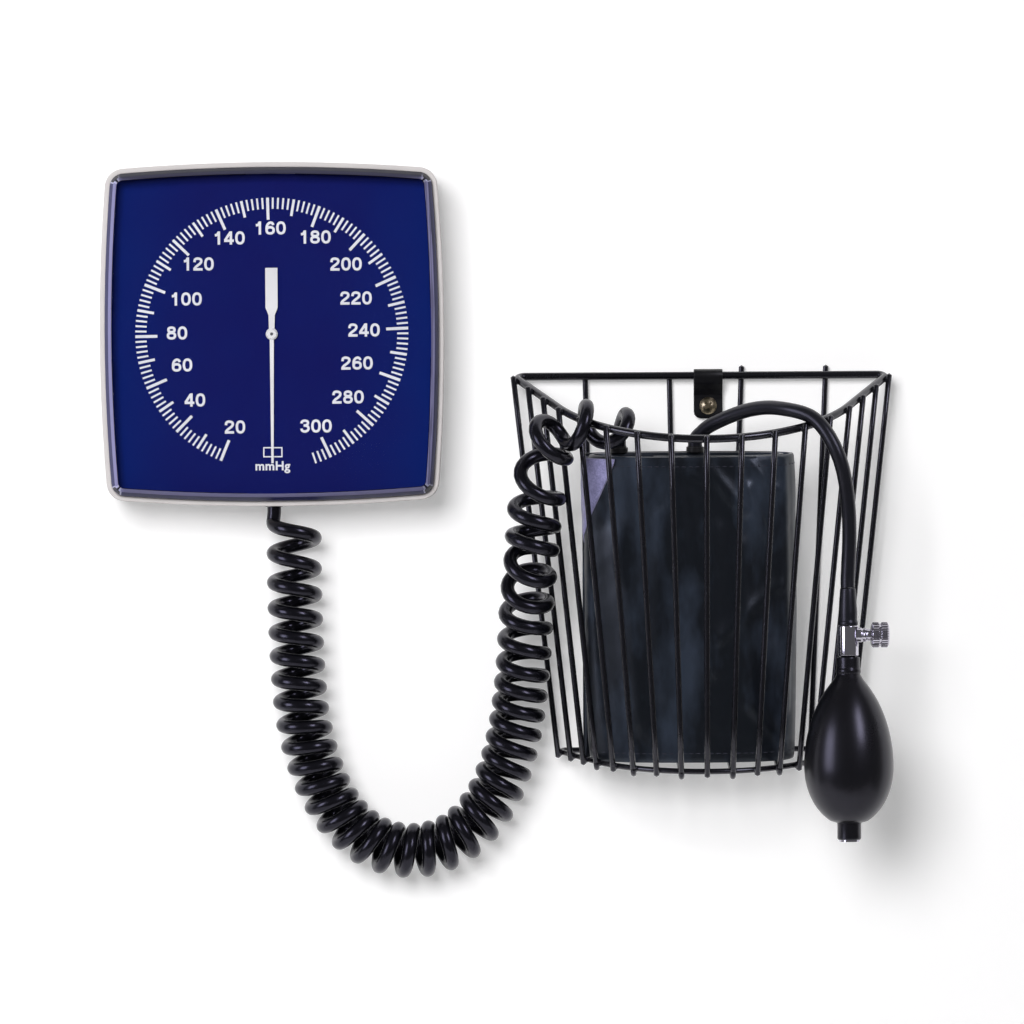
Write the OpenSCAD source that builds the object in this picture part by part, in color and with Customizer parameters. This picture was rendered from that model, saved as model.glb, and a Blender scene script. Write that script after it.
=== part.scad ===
// Wall-mounted aneroid sphygmomanometer: square dial gauge on a wall plate, curled pressure tube,
// wire basket on a screw, rolled cuff and a hand bulb with its valves.
// Millimetres. Origin at the centre of the gauge's wall plate, on the wall. X is to the right,
// Z is up, and the wall is the plane y = 0 with the object in front of it, at negative y.
// Depths are distances in front of the wall.

/* [Gauge case] */
// Width of the gauge case
case_w = 164; // [140:1:200]
// Height of the gauge case
case_h = 164; // [140:1:200]
// Depth of the case rim in front of the wall
case_depth = 32; // [32:0.5:40]
// Wall thickness of the case
case_wall = 2.4; // [2:0.1:3.5]
// Thickness of the case's back panel
panel_t = 2; // [1.5:0.1:2.5]
// Corner radius of the case outline
corner_r = 9; // [7:0.5:14]
// Radius of the slightly bowed sides
side_r = 900; // [600:10:2000]

/* [Gauge cover and dial] */
// How far the clear cover stands in front of the case rim
cover_rise = 9; // [8:0.5:14]
// Wall thickness of the clear cover
cover_wall = 2.2; // [1.6:0.1:3]
// Width of the cover's bevel
bevel_w = 5; // [3:0.5:7]
// Thickness of the dial plate
dial_t = 1; // [0.6:0.1:1]
// Outer radius of the scale
scale_r = 65; // [50:0.5:66]
// Angle of the dial for one unit of pressure
deg_per_unit = 1.125; // [1:0.005:1.15]
// Thickness of the pointer
pointer_t = 0.5; // [0.4:0.1:0.8]
// Length of the pointer's needle from the hub
needle_len = 61.5; // [45:0.5:64]
// Length of the pointer's tail from the hub
tail_len = 31.5; // [20:0.5:40]

/* [Wall plate] */
// Width of the wall plate
plate_w = 116; // [112:1:125]
// Height of the wall plate
plate_h = 84; // [70:1:110]
// Thickness of the wall plate
plate_t = 2; // [1.5:0.1:2.5]
// Distance between the screw holes across
plate_hole_x = 96; // [92:1:104]
// Distance between the screw holes up and down
plate_hole_z = 64; // [56:1:64]
// Diameter of the wall plate's screw holes
plate_hole_d = 4.5; // [4:0.1:5]

/* [Movement] */
// Module of the gear teeth
gear_module = 0.4; // [0.38:0.01:0.42]
// Teeth of the pinion on the pointer arbor
pinion_teeth = 10; // [10:1:12]
// Teeth that the sector would have as a full wheel
sector_teeth = 100; // [96:1:104]
// Angle that the sector swings through at full pressure
sector_swing = 33.75; // [30:0.25:34]
// Diameter of the pressure capsule
capsule_d = 44; // [36:1:46]
// Thickness of the pressure capsule
capsule_t = 6; // [5:0.5:6]
// Radius of every arbor in the movement
arbor_r = 0.75; // [0.6:0.05:0.9]
// Radial running clearance of the arbors
run_fit = 0.05; // [0.03:0.01:0.08]

/* [Curled tube and hose] */
// Diameter of the curled tube
tube_d = 6.6; // [6:0.1:7]
// Radius of the curls at the middle of the tube
curl_r = 10; // [9:0.5:11]
// Diameter of the hose to the bulb
hose_d = 6.8; // [6:0.1:7.4]

/* [Basket] */
// Middle of the basket, to the right of the gauge
basket_x = 205; // [200:1:215]
// Height of the basket's back rail below the gauge's centre
basket_top = 20.4; // [15:0.2:30]
// Height of the basket between its two rims at the back
basket_h = 179.6; // [160:0.2:200]
// Width of the top rim
rim_w = 180; // [170:1:190]
// Reach of the top rim from rail to nose, along its slope
rim_reach = 87.5; // [82:0.5:95]
// Nose radius of the top rim
rim_nose_r = 76; // [72:0.5:78]
// Slope of the top rim down to the front
rim_slope = 21; // [15:0.5:25]
// Width of the bottom rim
foot_w = 142; // [136:1:150]
// Reach of the bottom rim from back to nose
foot_reach = 62.5; // [60:0.5:70]
// Nose radius of the bottom rim
foot_nose_r = 60; // [56:0.5:60]
// Slope of the bottom rim down to the front
foot_slope = 7.5; // [5:0.5:10]
// Diameter of the top rim's wire
rim_wire_d = 3.8; // [3:0.1:4.5]
// Diameter of the bottom rim's wire
foot_wire_d = 2.7; // [2.4:0.1:3.2]
// Diameter of the upright wires
wire_d = 2.7; // [2.2:0.1:3]
// Width of the hanger strap
hanger_w = 13.8; // [10:0.2:16]
// Diameter of the hanger screw's head
screw_head_d = 8.3; // [7:0.1:9]

/* [Cuff] */
// Height of the rolled cuff, which is the width of the cuff laid flat
cuff_h = 146; // [130:1:150]
// Thickness of one layer of the cuff
cuff_t = 4.2; // [3.6:0.1:4.4]
// Distance from one layer of the roll to the next
cuff_pitch = 4.7; // [4.6:0.1:5.2]
// Half width of the roll at the middle of its outer layer
cuff_half_w = 50; // [44:0.5:51]
// Half depth of the roll at the middle of its outer layer
cuff_half_d = 15.5; // [14.5:0.1:16]

/* [Bulb and valves] */
// Largest diameter of the rubber bulb
bulb_d = 42.6; // [38:0.2:44]
// Wall thickness of the rubber bulb
bulb_wall = 2.4; // [1.8:0.1:3]
// Diameter of the chrome valve body
valve_d = 9.7; // [9:0.1:11]
// Height of the chrome valve body
valve_h = 14.4; // [13:0.1:18]
// Diameter of the knurled knob
knob_d = 12; // [10:0.2:14]
// Length of the knurled knob
knob_l = 8.6; // [7:0.2:11]

/* [Hidden] */
$fn = 48;

// Small fixed clearances
seat_gap = 0.3;
slip_gap = 0.1;

// Gauge depths
skirt_gap = 0.4;
screw_room = 4;
panel_d = plate_t + screw_room;
panel_top = panel_d + panel_t;
rim_d = case_depth;
ledge_d = rim_d - 3;
ledge_t = 2;
gasket_t = 0.9;
dial_seat_d = rim_d - 0.7;
dial_face_d = dial_seat_d + dial_t;
cover_front_d = rim_d + cover_rise;
dial_inset = case_wall + cover_wall + 0.8;
ledge_inset = dial_inset + 3;

// Inlet at the bottom of the case
inlet_d = 16;
grommet_hole_r = 4.1;
spigot_r = 2.6;
connector_w = 12;
connector_h = 12;
pipe_r = 1.5;
case_floor = -case_h / 2;
connector_z = case_floor + case_wall + 1.4;

// Movement layout, seen from the front
capsule_z = -12;
block_h = 12;
block_t = 4.5;
capsule_d0 = panel_top - 0.5 + block_t - 0.5;
capsule_top = capsule_d0 + capsule_t;
pinion_r = gear_module * pinion_teeth / 2;
sector_r = gear_module * sector_teeth / 2;
mesh_distance = pinion_r + sector_r;
line_angle = 103;
pressure_angle = 25;
tooth_play = 0.05;
ratio = sector_teeth / pinion_teeth;
sector_x = -mesh_distance * cos(line_angle);
sector_z = -mesh_distance * sin(line_angle);
tail_pin_reach = 3.6;
tail_pin_r = 0.5;
rocker_reach = 5;
rocker_d = rim_d - 11.5;
rocker_half = asin(tail_pin_reach * sin(sector_swing / 2) / rocker_reach);
post_travel = 2 * sector_x * sin(rocker_half);
arm_t = 0.8;
post_tip_d = rocker_d - post_travel / 2 - arm_t / 2 - slip_gap;
back_plate_d = rim_d - 9;
front_plate_d = rim_d - 2.5;
move_plate_t = 1;
sector_d = rim_d - 5.5;
sector_t = 0.8;
boss_x = 28;
boss_z_top = 9;
boss_z_low = -31;
boss_r = 4;
pillar_pos = [[-13, 6], [13, 6], [-13, -32], [18, -32]];
pointer_d = dial_face_d + 1.1;
bore_r = arbor_r + run_fit;

// Basket frame
rail_y = 4.6;
back_wire_y = 1.65;
weld = 0.3;
rim_z = -basket_top;
foot_z = -basket_top - basket_h;
corner_bend = 3.5;
foot_y = 4.05;
corner_room = 6.3;
wires_a_side = 8;
rim_r = rim_wire_d / 2;
foot_r = foot_wire_d / 2;
wire_r = wire_d / 2;
hanger_x = basket_x + 3.5;
hanger_screw_z = rim_z - 14.4;
screw_r = 2;

// Hand bulb
bulb_x = 271.5;
bulb_y = -70;
hose_end_z = -122;
valve_top_z = -139.7;
valve_low_z = valve_top_z - valve_h;
knob_z = valve_top_z - 4.5;
stub_end = 10.6;
neck_r = 5.6;
neck_low_z = valve_low_z - 9;
belly_z = -198;
belly_up = 36.4;
belly_down = 35.9;
bulb_foot_z = -240.4;
end_valve_r = 4;
ball_r = 1.8;
ball_lift = 0.8;

// Cuff roll
cuff_x = 198;
cuff_y = -26;
cuff_z = foot_z - 3.6;
cuff_lean = 6.5;
cuff_start = 200;
cuff_step = 11.25;
sleeve_steps = 56;
bladder_first = 2;
bladder_last = 41;
port_h = 3;
tube_port_step = 35;
hose_port_step = 38.35;
cuff_up = [0, -sin(cuff_lean), cos(cuff_lean)];

// Vector helpers
function unit(v) = v / norm(v);
function lerp(a, b, t) = a + (b - a) * t;
function smooth(t) = let (s = min(1, max(0, t))) s * s * (3 - 2 * s);
function inv(a) = tan(a) * 180 / PI - a;

// Placing helpers: at_depth() turns a flat drawing to face the viewer at a depth from the wall
module at_depth(d) translate([0, -d, 0]) rotate([90, 0, 0]) children();
module frame_to(x, y, z, o)
    multmatrix([[x.x, y.x, z.x, o.x], [x.y, y.y, z.y, o.y], [x.z, y.z, z.z, o.z], [0, 0, 0, 1]])
        children();

// A pillowed square: four slightly bowed sides joined by tangent corner arcs, set in by inset
side_steps = 4;
corner_steps = 5;
function pillow(inset) =
    let (
        a = case_w / 2 - inset,
        big = side_r - inset,
        small = max(0.8, corner_r - inset),
        q = big - a,
        c = (sqrt(2 * pow(big - small, 2) - q * q) - q) / 2,
        t = atan2(c, c + q),
        stretch = (case_h / 2 - inset) / a,
        quarter = concat(
            [for (i = [0 : side_steps - 1]) let (w = t * i / side_steps) [big * sin(w), big * cos(w) - q]],
            [for (i = [0 : corner_steps]) let (w = lerp(t, 90 - t, i / corner_steps))
                [c + small * sin(w), c + small * cos(w)]],
            [for (i = [1 : side_steps - 1]) let (w = lerp(90 - t, 90, i / side_steps))
                [big * sin(w) - q, big * cos(w)]]))
    [for (k = [0 : 3]) for (p = quarter)
        let (r = [p.x * cos(90 * k) + p.y * sin(90 * k), p.y * cos(90 * k) - p.x * sin(90 * k)])
        [r.x, r.y * stretch]];

// Sweeps a closed profile of [inset, depth] points round the pillowed outline
module pillow_ring(profile) {
    n = len(profile);
    m = len(pillow(0));
    points = [for (p = profile) for (q = pillow(p[0])) [q.x, q.y, p[1]]];
    faces = [for (i = [0 : n - 1]) for (j = [0 : m - 1])
        let (a = i * m + j, b = i * m + (j + 1) % m, c = ((i + 1) % n) * m + j,
            d = ((i + 1) % n) * m + (j + 1) % m)
        each [[a, b, c], [b, d, c]]];
    polyhedron(points = points, faces = faces, convexity = 6);
}
module pillow_slab(inset, d0, d1) translate([0, 0, d0]) linear_extrude(d1 - d0) polygon(pillow(inset));
module rounded_plate(w, h, r, t)
    hull() for (x = [-1, 1], y = [-1, 1]) translate([x * (w / 2 - r), y * (h / 2 - r)]) cylinder(r = r, h = t);
module soft_bar(w, h, r) polygon([
    for (q = [[w / 2 - r, h / 2 - r, 0], [r - w / 2, h / 2 - r, 90], [r - w / 2, r - h / 2, 180],
        [w / 2 - r, r - h / 2, 270]])
    for (i = [0 : 6]) [q[0] + r * cos(q[2] + 15 * i), q[1] + r * sin(q[2] + 15 * i)]]);

// Round wire between two points, and the bend that joins two straight runs
module straight_wire(a, b, r) {
    z = unit(b - a);
    x = unit(cross(abs(z.y) < 0.9 ? [0, 1, 0] : [1, 0, 0], z));
    frame_to(x, cross(z, x), z, a) cylinder(r = r, h = norm(b - a), $fn = 24);
}
// A straight run that reaches a little way into the bends at its ends
joint_reach = 0.25;
module joined_wire(a, b, r) straight_wire(a - unit(b - a) * joint_reach, b + unit(b - a) * joint_reach, r - 0.02);
function bend_trim(p0, p1, p2, rb) =
    let (u = unit(p1 - p0), v = unit(p2 - p1)) rb * tan(acos(u * v) / 2);
module wire_bend(p0, p1, p2, rb, r) {
    u = unit(p1 - p0);
    v = unit(p2 - p1);
    turn = acos(u * v);
    n = unit(v - (u * v) * u);
    c = p1 - u * rb * tan(turn / 2) + n * rb;
    frame_to(-n, u, cross(-n, u), c)
        rotate_extrude(angle = turn, $fn = rb > 20 ? 96 : 32) translate([rb, 0]) circle(r = r, $fn = 24);
}
module wire_loop(pts, bends, r) {
    n = len(pts);
    for (i = [0 : n - 1]) {
        p0 = pts[(i + n - 1) % n];
        p1 = pts[i];
        p2 = pts[(i + 1) % n];
        p3 = pts[(i + 2) % n];
        wire_bend(p0, p1, p2, bends[i], r);
        u = unit(p2 - p1);
        joined_wire(p1 + u * bend_trim(p0, p1, p2, bends[i]),
            p2 - u * bend_trim(p1, p2, p3, bends[(i + 1) % n]), r);
    }
}

// A tube swept along points: rings of equal radius carried along without twist
function ring_normals(pts, dirs, i = 0, n = [1, 0, 0], out = []) =
    i >= len(pts) ? out :
    let (m = unit(n - (n * dirs[i]) * dirs[i])) ring_normals(pts, dirs, i + 1, m, concat(out, [m]));
module swept_tube(pts, r, sides, first_normal = [1, 0, 0]) {
    last = len(pts) - 1;
    dirs = [for (i = [0 : last]) unit(pts[min(last, i + 1)] - pts[max(0, i - 1)])];
    normals = ring_normals(pts, dirs, 0, first_normal);
    ring_pts = [for (i = [0 : last]) let (b = cross(dirs[i], normals[i]))
        for (j = [0 : sides - 1]) pts[i] + r * (cos(360 * j / sides) * normals[i] + sin(360 * j / sides) * b)];
    sides_f = [for (i = [0 : last - 1]) for (j = [0 : sides - 1])
        let (a = i * sides + j, b = i * sides + (j + 1) % sides)
        each [[a, a + sides, b], [b, a + sides, b + sides]]];
    start_f = [for (j = [1 : sides - 2]) [0, j, j + 1]];
    end_f = [for (j = [1 : sides - 2]) [last * sides, last * sides + j + 1, last * sides + j]];
    polyhedron(points = ring_pts, faces = concat(sides_f, start_f, end_f), convexity = 10);
}

// Smooth curve through route points; u counts route points from 0
function spline(p, u) =
    let (
        last = len(p) - 1,
        k = min(last - 1, floor(u)),
        t = u - k,
        a = p[max(0, k - 1)], b = p[k], c = p[k + 1], d = p[min(last, k + 2)])
    0.5 * (2 * b + (c - a) * t + (2 * a - 5 * b + 4 * c - d) * t * t + (3 * b - 3 * c + d - a) * t * t * t);

// Involute gear outlines
function half_tooth(teeth, rho) =
    let (r = gear_module * teeth / 2, base = r * cos(pressure_angle))
    90 / teeth - tooth_play / 2 / r * 180 / PI + inv(pressure_angle) - inv(acos(min(1, base / rho)));
function tooth_radii(teeth) =
    let (r = gear_module * teeth / 2, base = r * cos(pressure_angle), tip = r + 0.8 * gear_module,
        low = max(base, r - 0.9 * gear_module))
    [for (i = [0 : 3]) lerp(low, tip, i / 3)];
function tooth_root(teeth) = gear_module * teeth / 2 - 1.15 * gear_module;
function tooth_outline(teeth, k) =
    let (radii = tooth_radii(teeth), a = 360 * k / teeth, root = tooth_root(teeth),
        w = half_tooth(teeth, radii[0]))
    concat(
        [root * [cos(a - w), sin(a - w)]],
        [for (rho = radii) let (h = half_tooth(teeth, rho)) rho * [cos(a - h), sin(a - h)]],
        [for (i = [3 : -1 : 0]) let (h = half_tooth(teeth, radii[i])) radii[i] * [cos(a + h), sin(a + h)]],
        [root * [cos(a + w), sin(a + w)]]);

// Wall plate with two hooks that the case drops onto
hook_x = 45;
hook_w = 10;
hook_seat_z = 14;
hook_up = 10;
hook_foot = 4;
hook_t = 1.5;
module wall_plate() color("silver") {
    at_depth(0) difference() {
        linear_extrude(plate_t) soft_bar(plate_w, plate_h, 6);
        for (x = [-1, 1], z = [-1, 1])
            translate([x * plate_hole_x / 2, z * plate_hole_z / 2, -1]) cylinder(d = plate_hole_d, h = plate_t + 2);
    }
    for (x = [-hook_x, hook_x]) at_depth(0) {
        translate([x - hook_w / 2, hook_seat_z - hook_foot, plate_t])
            cube([hook_w, hook_foot, panel_top + hook_t - plate_t]);
        translate([x - hook_w / 2, hook_seat_z, panel_top + slip_gap])
            cube([hook_w, hook_up, hook_t - slip_gap]);
    }
}

// Case: moulded tray with a rounded rim, a ledge for dial and cover, hook slots and screw bosses
rim_round = 1.2;
hook_slot_h = 20;
module case_back() color([0.78, 0.76, 0.74]) difference() {
    union() {
        at_depth(0) pillow_ring([
            [1.6, skirt_gap], [0.5, 4], [0, 10], [0, rim_d - rim_round],
            [rim_round * 0.3, rim_d - rim_round * 0.3], [rim_round, rim_d],
            [case_wall, rim_d - 0.4], [case_wall, 10], [case_wall + 0.4, 4],
            [case_wall + 1.4, skirt_gap]]);
        at_depth(0) pillow_slab(case_wall / 2, panel_d, panel_top);
        at_depth(0) difference() {
            union() {
                pillow_slab(case_wall / 2, ledge_d - ledge_t, ledge_d);
                pillow_slab(dial_inset, ledge_d - 1, dial_seat_d);
            }
            pillow_slab(ledge_inset, 0, rim_d);
        }
        for (x = [-boss_x, boss_x], z = [boss_z_top, boss_z_low]) at_depth(panel_top - 0.5)
            translate([x, z]) cylinder(r = boss_r, h = back_plate_d - panel_top + 0.5);
        for (x = [-boss_x, boss_x]) at_depth(panel_top - 0.5) {
            translate([x - 0.9, boss_z_top + 2]) cube([1.8, case_h / 2 - boss_z_top - 3.5, 8]);
            translate([x - 0.9, case_floor + 1.5]) cube([1.8, boss_z_low - case_floor - 3.5, 8]);
        }
    }
    for (x = [-boss_x, boss_x], z = [boss_z_top, boss_z_low]) at_depth(back_plate_d - 10)
        translate([x, z]) cylinder(r = 1.25, h = 11);
    for (x = [-hook_x, hook_x]) at_depth(panel_d - 1)
        translate([x - hook_w / 2 - 1, hook_seat_z - hook_slot_h]) cube([hook_w + 2, hook_slot_h, panel_t + 2]);
    translate([0, -inlet_d, case_floor - 2]) cylinder(r = grommet_hole_r, h = case_wall + 4);
}

module cover_gasket() color([0.12, 0.12, 0.13]) at_depth(0) difference() {
    pillow_slab(case_wall + 0.3, ledge_d, ledge_d + gasket_t);
    pillow_slab(case_wall + cover_wall, ledge_d - 1, rim_d);
}

// Clear cover: a shallow box with a two-facet bevel that meets in mitres at the corners
module clear_cover() color([0.75, 0.82, 0.95, 0.35]) at_depth(0) {
    out = case_wall + 0.2;
    foot = ledge_d + gasket_t;
    wall = cover_wall;
    pillow_ring([
        [out, foot], [out, cover_front_d - bevel_w * 1.15], [out + bevel_w * 0.45, cover_front_d - bevel_w * 0.45],
        [out + bevel_w, cover_front_d], [out + bevel_w + 4, cover_front_d],
        [out + bevel_w + 4, cover_front_d - wall], [out + bevel_w + 0.6, cover_front_d - wall],
        [out + bevel_w * 0.45 + wall * 0.8, cover_front_d - bevel_w * 0.45 - wall * 0.7],
        [out + wall, cover_front_d - bevel_w * 1.15 - wall * 0.4], [out + wall, foot]]);
    pillow_slab(out + bevel_w + 3, cover_front_d - wall, cover_front_d);
}

// Dial plate and its raised scale
dial_hole_r = 2.6;
module dial_plate() color([0.08, 0.1, 0.38]) at_depth(0) difference() {
    pillow_slab(dial_inset + 0.2, dial_seat_d, dial_face_d);
    translate([0, 0, dial_seat_d - 1]) cylinder(r = dial_hole_r, h = 3);
}
tick_rise = 0.15;
module dial_scale() color("white") at_depth(dial_face_d) {
    for (p = [20 : 10 : 300]) {
        long = p % 20 == 0;
        rotate([0, 0, -90 - deg_per_unit * p]) translate([scale_r - (long ? 10.5 : 8), long ? -0.6 : -0.4])
            cube([long ? 10.5 : 8, long ? 1.2 : 0.8, tick_rise]);
    }
    translate([0, 10 - scale_r]) difference() {
        translate([-4.6, -2.1]) cube([9.2, 4.2, tick_rise]);
        translate([-3.9, -1.4, -1]) cube([7.8, 2.8, 2]);
    }
}

// Movement plates, pillars and screws
lug_t = 1;
lug_low_z = sector_z - 9.5;
lug_top_z = capsule_z + 5;
module plate_outline(x0, z0, x1, z1, r)
    translate([(x0 + x1) / 2, (z0 + z1) / 2]) linear_extrude(move_plate_t) soft_bar(x1 - x0, z1 - z0, r);
module movement_back_plate() color([0.8, 0.65, 0.3]) {
    at_depth(back_plate_d) difference() {
        plate_outline(-boss_x - 5, boss_z_low - 5, boss_x + 5, boss_z_top + 5, 5);
        for (x = [-boss_x, boss_x], z = [boss_z_top, boss_z_low])
            translate([x, z, -1]) cylinder(r = 1.35, h = 3);
        translate([0, 0, -1]) cylinder(r = bore_r, h = 3);
        translate([sector_x, sector_z, -1]) cylinder(r = bore_r, h = 3);
        translate([sector_x - 3.4, sector_z - tail_pin_reach - 1.9, -1]) cube([6.8, 4, 3]);
        for (s = [-1, 1]) translate([s * 20, -11, -1]) cylinder(r = 5, h = 3);
    }
    for (z = [lug_low_z, lug_top_z]) difference() {
        translate([sector_x - 2, -back_plate_d - 0.2, z]) cube([4, back_plate_d - rocker_d + 1.9, lug_t]);
        translate([sector_x, -rocker_d, z - 1]) cylinder(r = bore_r, h = 3);
    }
}
module movement_front_plate() color([0.8, 0.65, 0.3]) at_depth(front_plate_d) difference() {
    plate_outline(-17, -36, 22, 10, 4);
    for (p = pillar_pos) translate([p.x, p.y, -1]) cylinder(r = 1.05, h = 3);
    translate([0, 0, -1]) cylinder(r = bore_r, h = 3);
    translate([sector_x, sector_z, -1]) cylinder(r = bore_r, h = 3);
}
module movement_pillars() color([0.75, 0.6, 0.28]) at_depth(back_plate_d + move_plate_t)
    for (p = pillar_pos) translate([p.x, p.y]) difference() {
        cylinder(r = 2, h = front_plate_d - back_plate_d - move_plate_t);
        translate([0, 0, 1.5]) cylinder(r = 1, h = 9);
    }
module movement_screws() color("lightgray") at_depth(back_plate_d + move_plate_t)
    for (x = [-boss_x, boss_x], z = [boss_z_top, boss_z_low]) translate([x, z]) difference() {
        union() {
            cylinder(r = 2.4, h = 1.4);
            translate([0, 0, -8]) cylinder(r = 1.2, h = 8.5);
        }
        translate([-3, -0.35, 0.8]) cube([6, 0.7, 2]);
    }
module plate_screws() color("lightgray") at_depth(front_plate_d + move_plate_t)
    for (p = pillar_pos) translate([p.x, p.y]) difference() {
        union() {
            cylinder(r = 1.8, h = 0.7);
            translate([0, 0, -3.5]) cylinder(r = 0.95, h = 3.8);
        }
        translate([-2, -0.25, 0.4]) cube([4, 0.5, 1]);
    }

// Sector gear: toothed rim, two spokes, hub and a tail with its pin
fan_half = sector_swing / 2 + 6.2;
fan_teeth = floor((fan_half - 1.3) * sector_teeth / 360);
sector_rest = line_angle - sector_swing / 2;
module sector_gear() color([0.85, 0.7, 0.35]) at_depth(0) translate([sector_x, sector_z]) rotate(sector_rest) {
    rim_in = sector_r - 3;
    translate([0, 0, sector_d]) linear_extrude(sector_t) polygon(concat(
        [for (k = [-fan_teeth : fan_teeth]) each tooth_outline(sector_teeth, k)],
        [for (i = [0 : 8]) let (a = lerp(fan_half, -fan_half, i / 8)) rim_in * [cos(a), sin(a)]]));
    for (s = [-1, 1]) translate([0, 0, sector_d]) rotate(s * (fan_half - 5)) translate([arbor_r + 1, -0.9])
        cube([rim_in - arbor_r - 0.5, 1.8, sector_t]);
    difference() {
        translate([0, 0, sector_d - 0.6]) cylinder(r = 2.2, h = sector_t + 1.6);
        translate([0, 0, sector_d - 2]) cylinder(r = arbor_r, h = sector_t + 4);
    }
    rotate(270 - line_angle) {
        translate([1.5, -0.7, sector_d]) cube([tail_pin_reach - 1, 1.4, sector_t]);
        translate([tail_pin_reach, 0, sector_d - 1.5]) cylinder(r = tail_pin_r, h = 1.5 + sector_t / 2, $fn = 24);
    }
}
module sector_arbor() color("silver") at_depth(back_plate_d - 0.2)
    translate([sector_x, sector_z]) cylinder(r = arbor_r, h = front_plate_d - back_plate_d + 1.2);

// Rocking shaft: one arm rests on the capsule's post, the other pushes the sector's tail pin
module rocking_shaft() color("silver") translate([sector_x, -rocker_d, 0]) rotate([0, 0, -rocker_half]) {
    translate([0, 0, lug_low_z - 0.4]) cylinder(r = arbor_r, h = lug_top_z - lug_low_z + lug_t + 0.8);
    tail_z = sector_z - tail_pin_reach;
    for (z = [capsule_z, tail_z]) translate([0, 0, z - 1.5]) cylinder(r = 1.5, h = 3);
    translate([-sector_x - 1, -arm_t / 2, capsule_z - 1.2]) cube([sector_x, arm_t, 2.4]);
    translate([-tail_pin_r - slip_gap - arm_t, -rocker_reach, tail_z - 1.4]) cube([arm_t, rocker_reach, 2.8]);
}

// Pressure capsule: two corrugated discs soldered at the rim
ripple = 0.25;
function capsule_half(r) =
    let (edge = capsule_d / 2)
    min(capsule_t / 2 - ripple + ripple * cos(r * 360 / 5.5), 0.5 + max(0, edge - r) * 1.2);
module capsule() color([0.86, 0.78, 0.5]) at_depth(capsule_d0 + capsule_t / 2) translate([0, capsule_z]) {
    difference() {
        rotate_extrude() polygon(concat(
            [for (i = [0 : 32]) let (r = capsule_d / 2 * i / 32) [r, -capsule_half(r)]],
            [for (i = [32 : -1 : 0]) let (r = capsule_d / 2 * i / 32) [r, capsule_half(r)]]));
        translate([0, 0, capsule_t / 2 - 1.2]) cylinder(r = 3.06, h = 2);
    }
}
module capsule_post() color("silver") {
    foot_d = capsule_top - 1.2 + 0.05;
    at_depth(foot_d) translate([0, capsule_z]) {
        cylinder(r = 3, h = 1);
        cylinder(r = 1.1, h = post_tip_d - foot_d - 1.1);
        translate([0, 0, post_tip_d - foot_d - 1.1]) sphere(r = 1.1);
    }
}
module inlet_block() color([0.8, 0.65, 0.3]) at_depth(panel_top) difference() {
    union() {
        translate([-7, capsule_z - block_h / 2]) cube([14, block_h, block_t - 1]);
        translate([0, capsule_z]) cylinder(r = 4, h = capsule_d0 - panel_top);
    }
    translate([0, capsule_z - block_h / 2 - 1, (block_t - 1) / 2]) rotate([-90, 0, 0]) cylinder(r = pipe_r + 0.05, h = 6);
}
pipe_axis_d = panel_top + (block_t - 1) / 2;
module inlet_pipe() color([0.8, 0.5, 0.3])
    translate([0, -pipe_axis_d, connector_z + connector_h - 4]) cylinder(r = pipe_r,
        h = capsule_z - block_h / 2 + 4.5 - connector_z - connector_h + 4);
module inlet_connector() color([0.8, 0.65, 0.3]) difference() {
    union() {
        translate([-connector_w / 2, -inlet_d - 4.5, connector_z]) cube([connector_w, inlet_d + 4.5 - panel_top, connector_h]);
        translate([0, -inlet_d, case_floor]) cylinder(r = spigot_r, h = connector_z - case_floor + 1);
    }
    translate([0, -pipe_axis_d, connector_z + connector_h - 4.5]) cylinder(r = pipe_r + 0.05, h = 6);
    translate([0, -inlet_d, case_floor - 1]) cylinder(r = 1.3, h = 8);
}
module tube_grommet() color([0.1, 0.1, 0.11]) translate([0, -inlet_d, case_floor]) difference() {
    union() {
        translate([0, 0, -0.2]) cylinder(r = grommet_hole_r - 0.05, h = case_wall + 0.3);
        translate([0, 0, case_wall + 0.1]) cylinder(r = grommet_hole_r + 1.2, h = 1);
    }
    translate([0, 0, -1]) cylinder(r = spigot_r + 0.05, h = case_wall + 4);
}

// Pointer train on the centre arbor
module pointer_arbor() color("silver") at_depth(back_plate_d - 0.2)
    cylinder(r = arbor_r, h = pointer_d + pointer_t - back_plate_d + 0.7);
pinion_rest = line_angle + 180 - 180 / pinion_teeth + ratio * sector_swing / 2;
module drive_pinion() color([0.85, 0.7, 0.35]) at_depth(sector_d - 0.4) rotate(pinion_rest) difference() {
    linear_extrude(sector_t + 0.8) polygon([for (k = [0 : pinion_teeth - 1]) each tooth_outline(pinion_teeth, k)]);
    translate([0, 0, -1]) cylinder(r = arbor_r, h = 4);
}
spring_turns = 5;
spring_in = 2;
spring_step = 0.9;
spring_t = 0.25;
module hairspring() color([0.55, 0.6, 0.7]) at_depth(sector_d + sector_t + 0.9) linear_extrude(0.5) polygon(concat(
    [for (i = [0 : spring_turns * 20]) let (a = 18 * i, r = spring_in + spring_step * a / 360) r * [cos(a), sin(a)]],
    [for (i = [spring_turns * 20 : -1 : 0]) let (a = 18 * i, r = spring_in + spring_t + spring_step * a / 360)
        r * [cos(a), sin(a)]]));
module hairspring_collet() color([0.85, 0.7, 0.35]) at_depth(sector_d + sector_t + 0.75) difference() {
    cylinder(r = spring_in - seat_gap, h = 0.8);
    translate([0, 0, -1]) cylinder(r = arbor_r, h = 3);
}
module hairspring_stud() color([0.85, 0.7, 0.35]) at_depth(sector_d + sector_t + 0.7)
    translate([spring_in + spring_t + spring_step * spring_turns + 0.9, 0])
        cylinder(r = 0.8, h = front_plate_d - sector_d - sector_t - 0.7);
hub_neck_r = 1.3;
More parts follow.
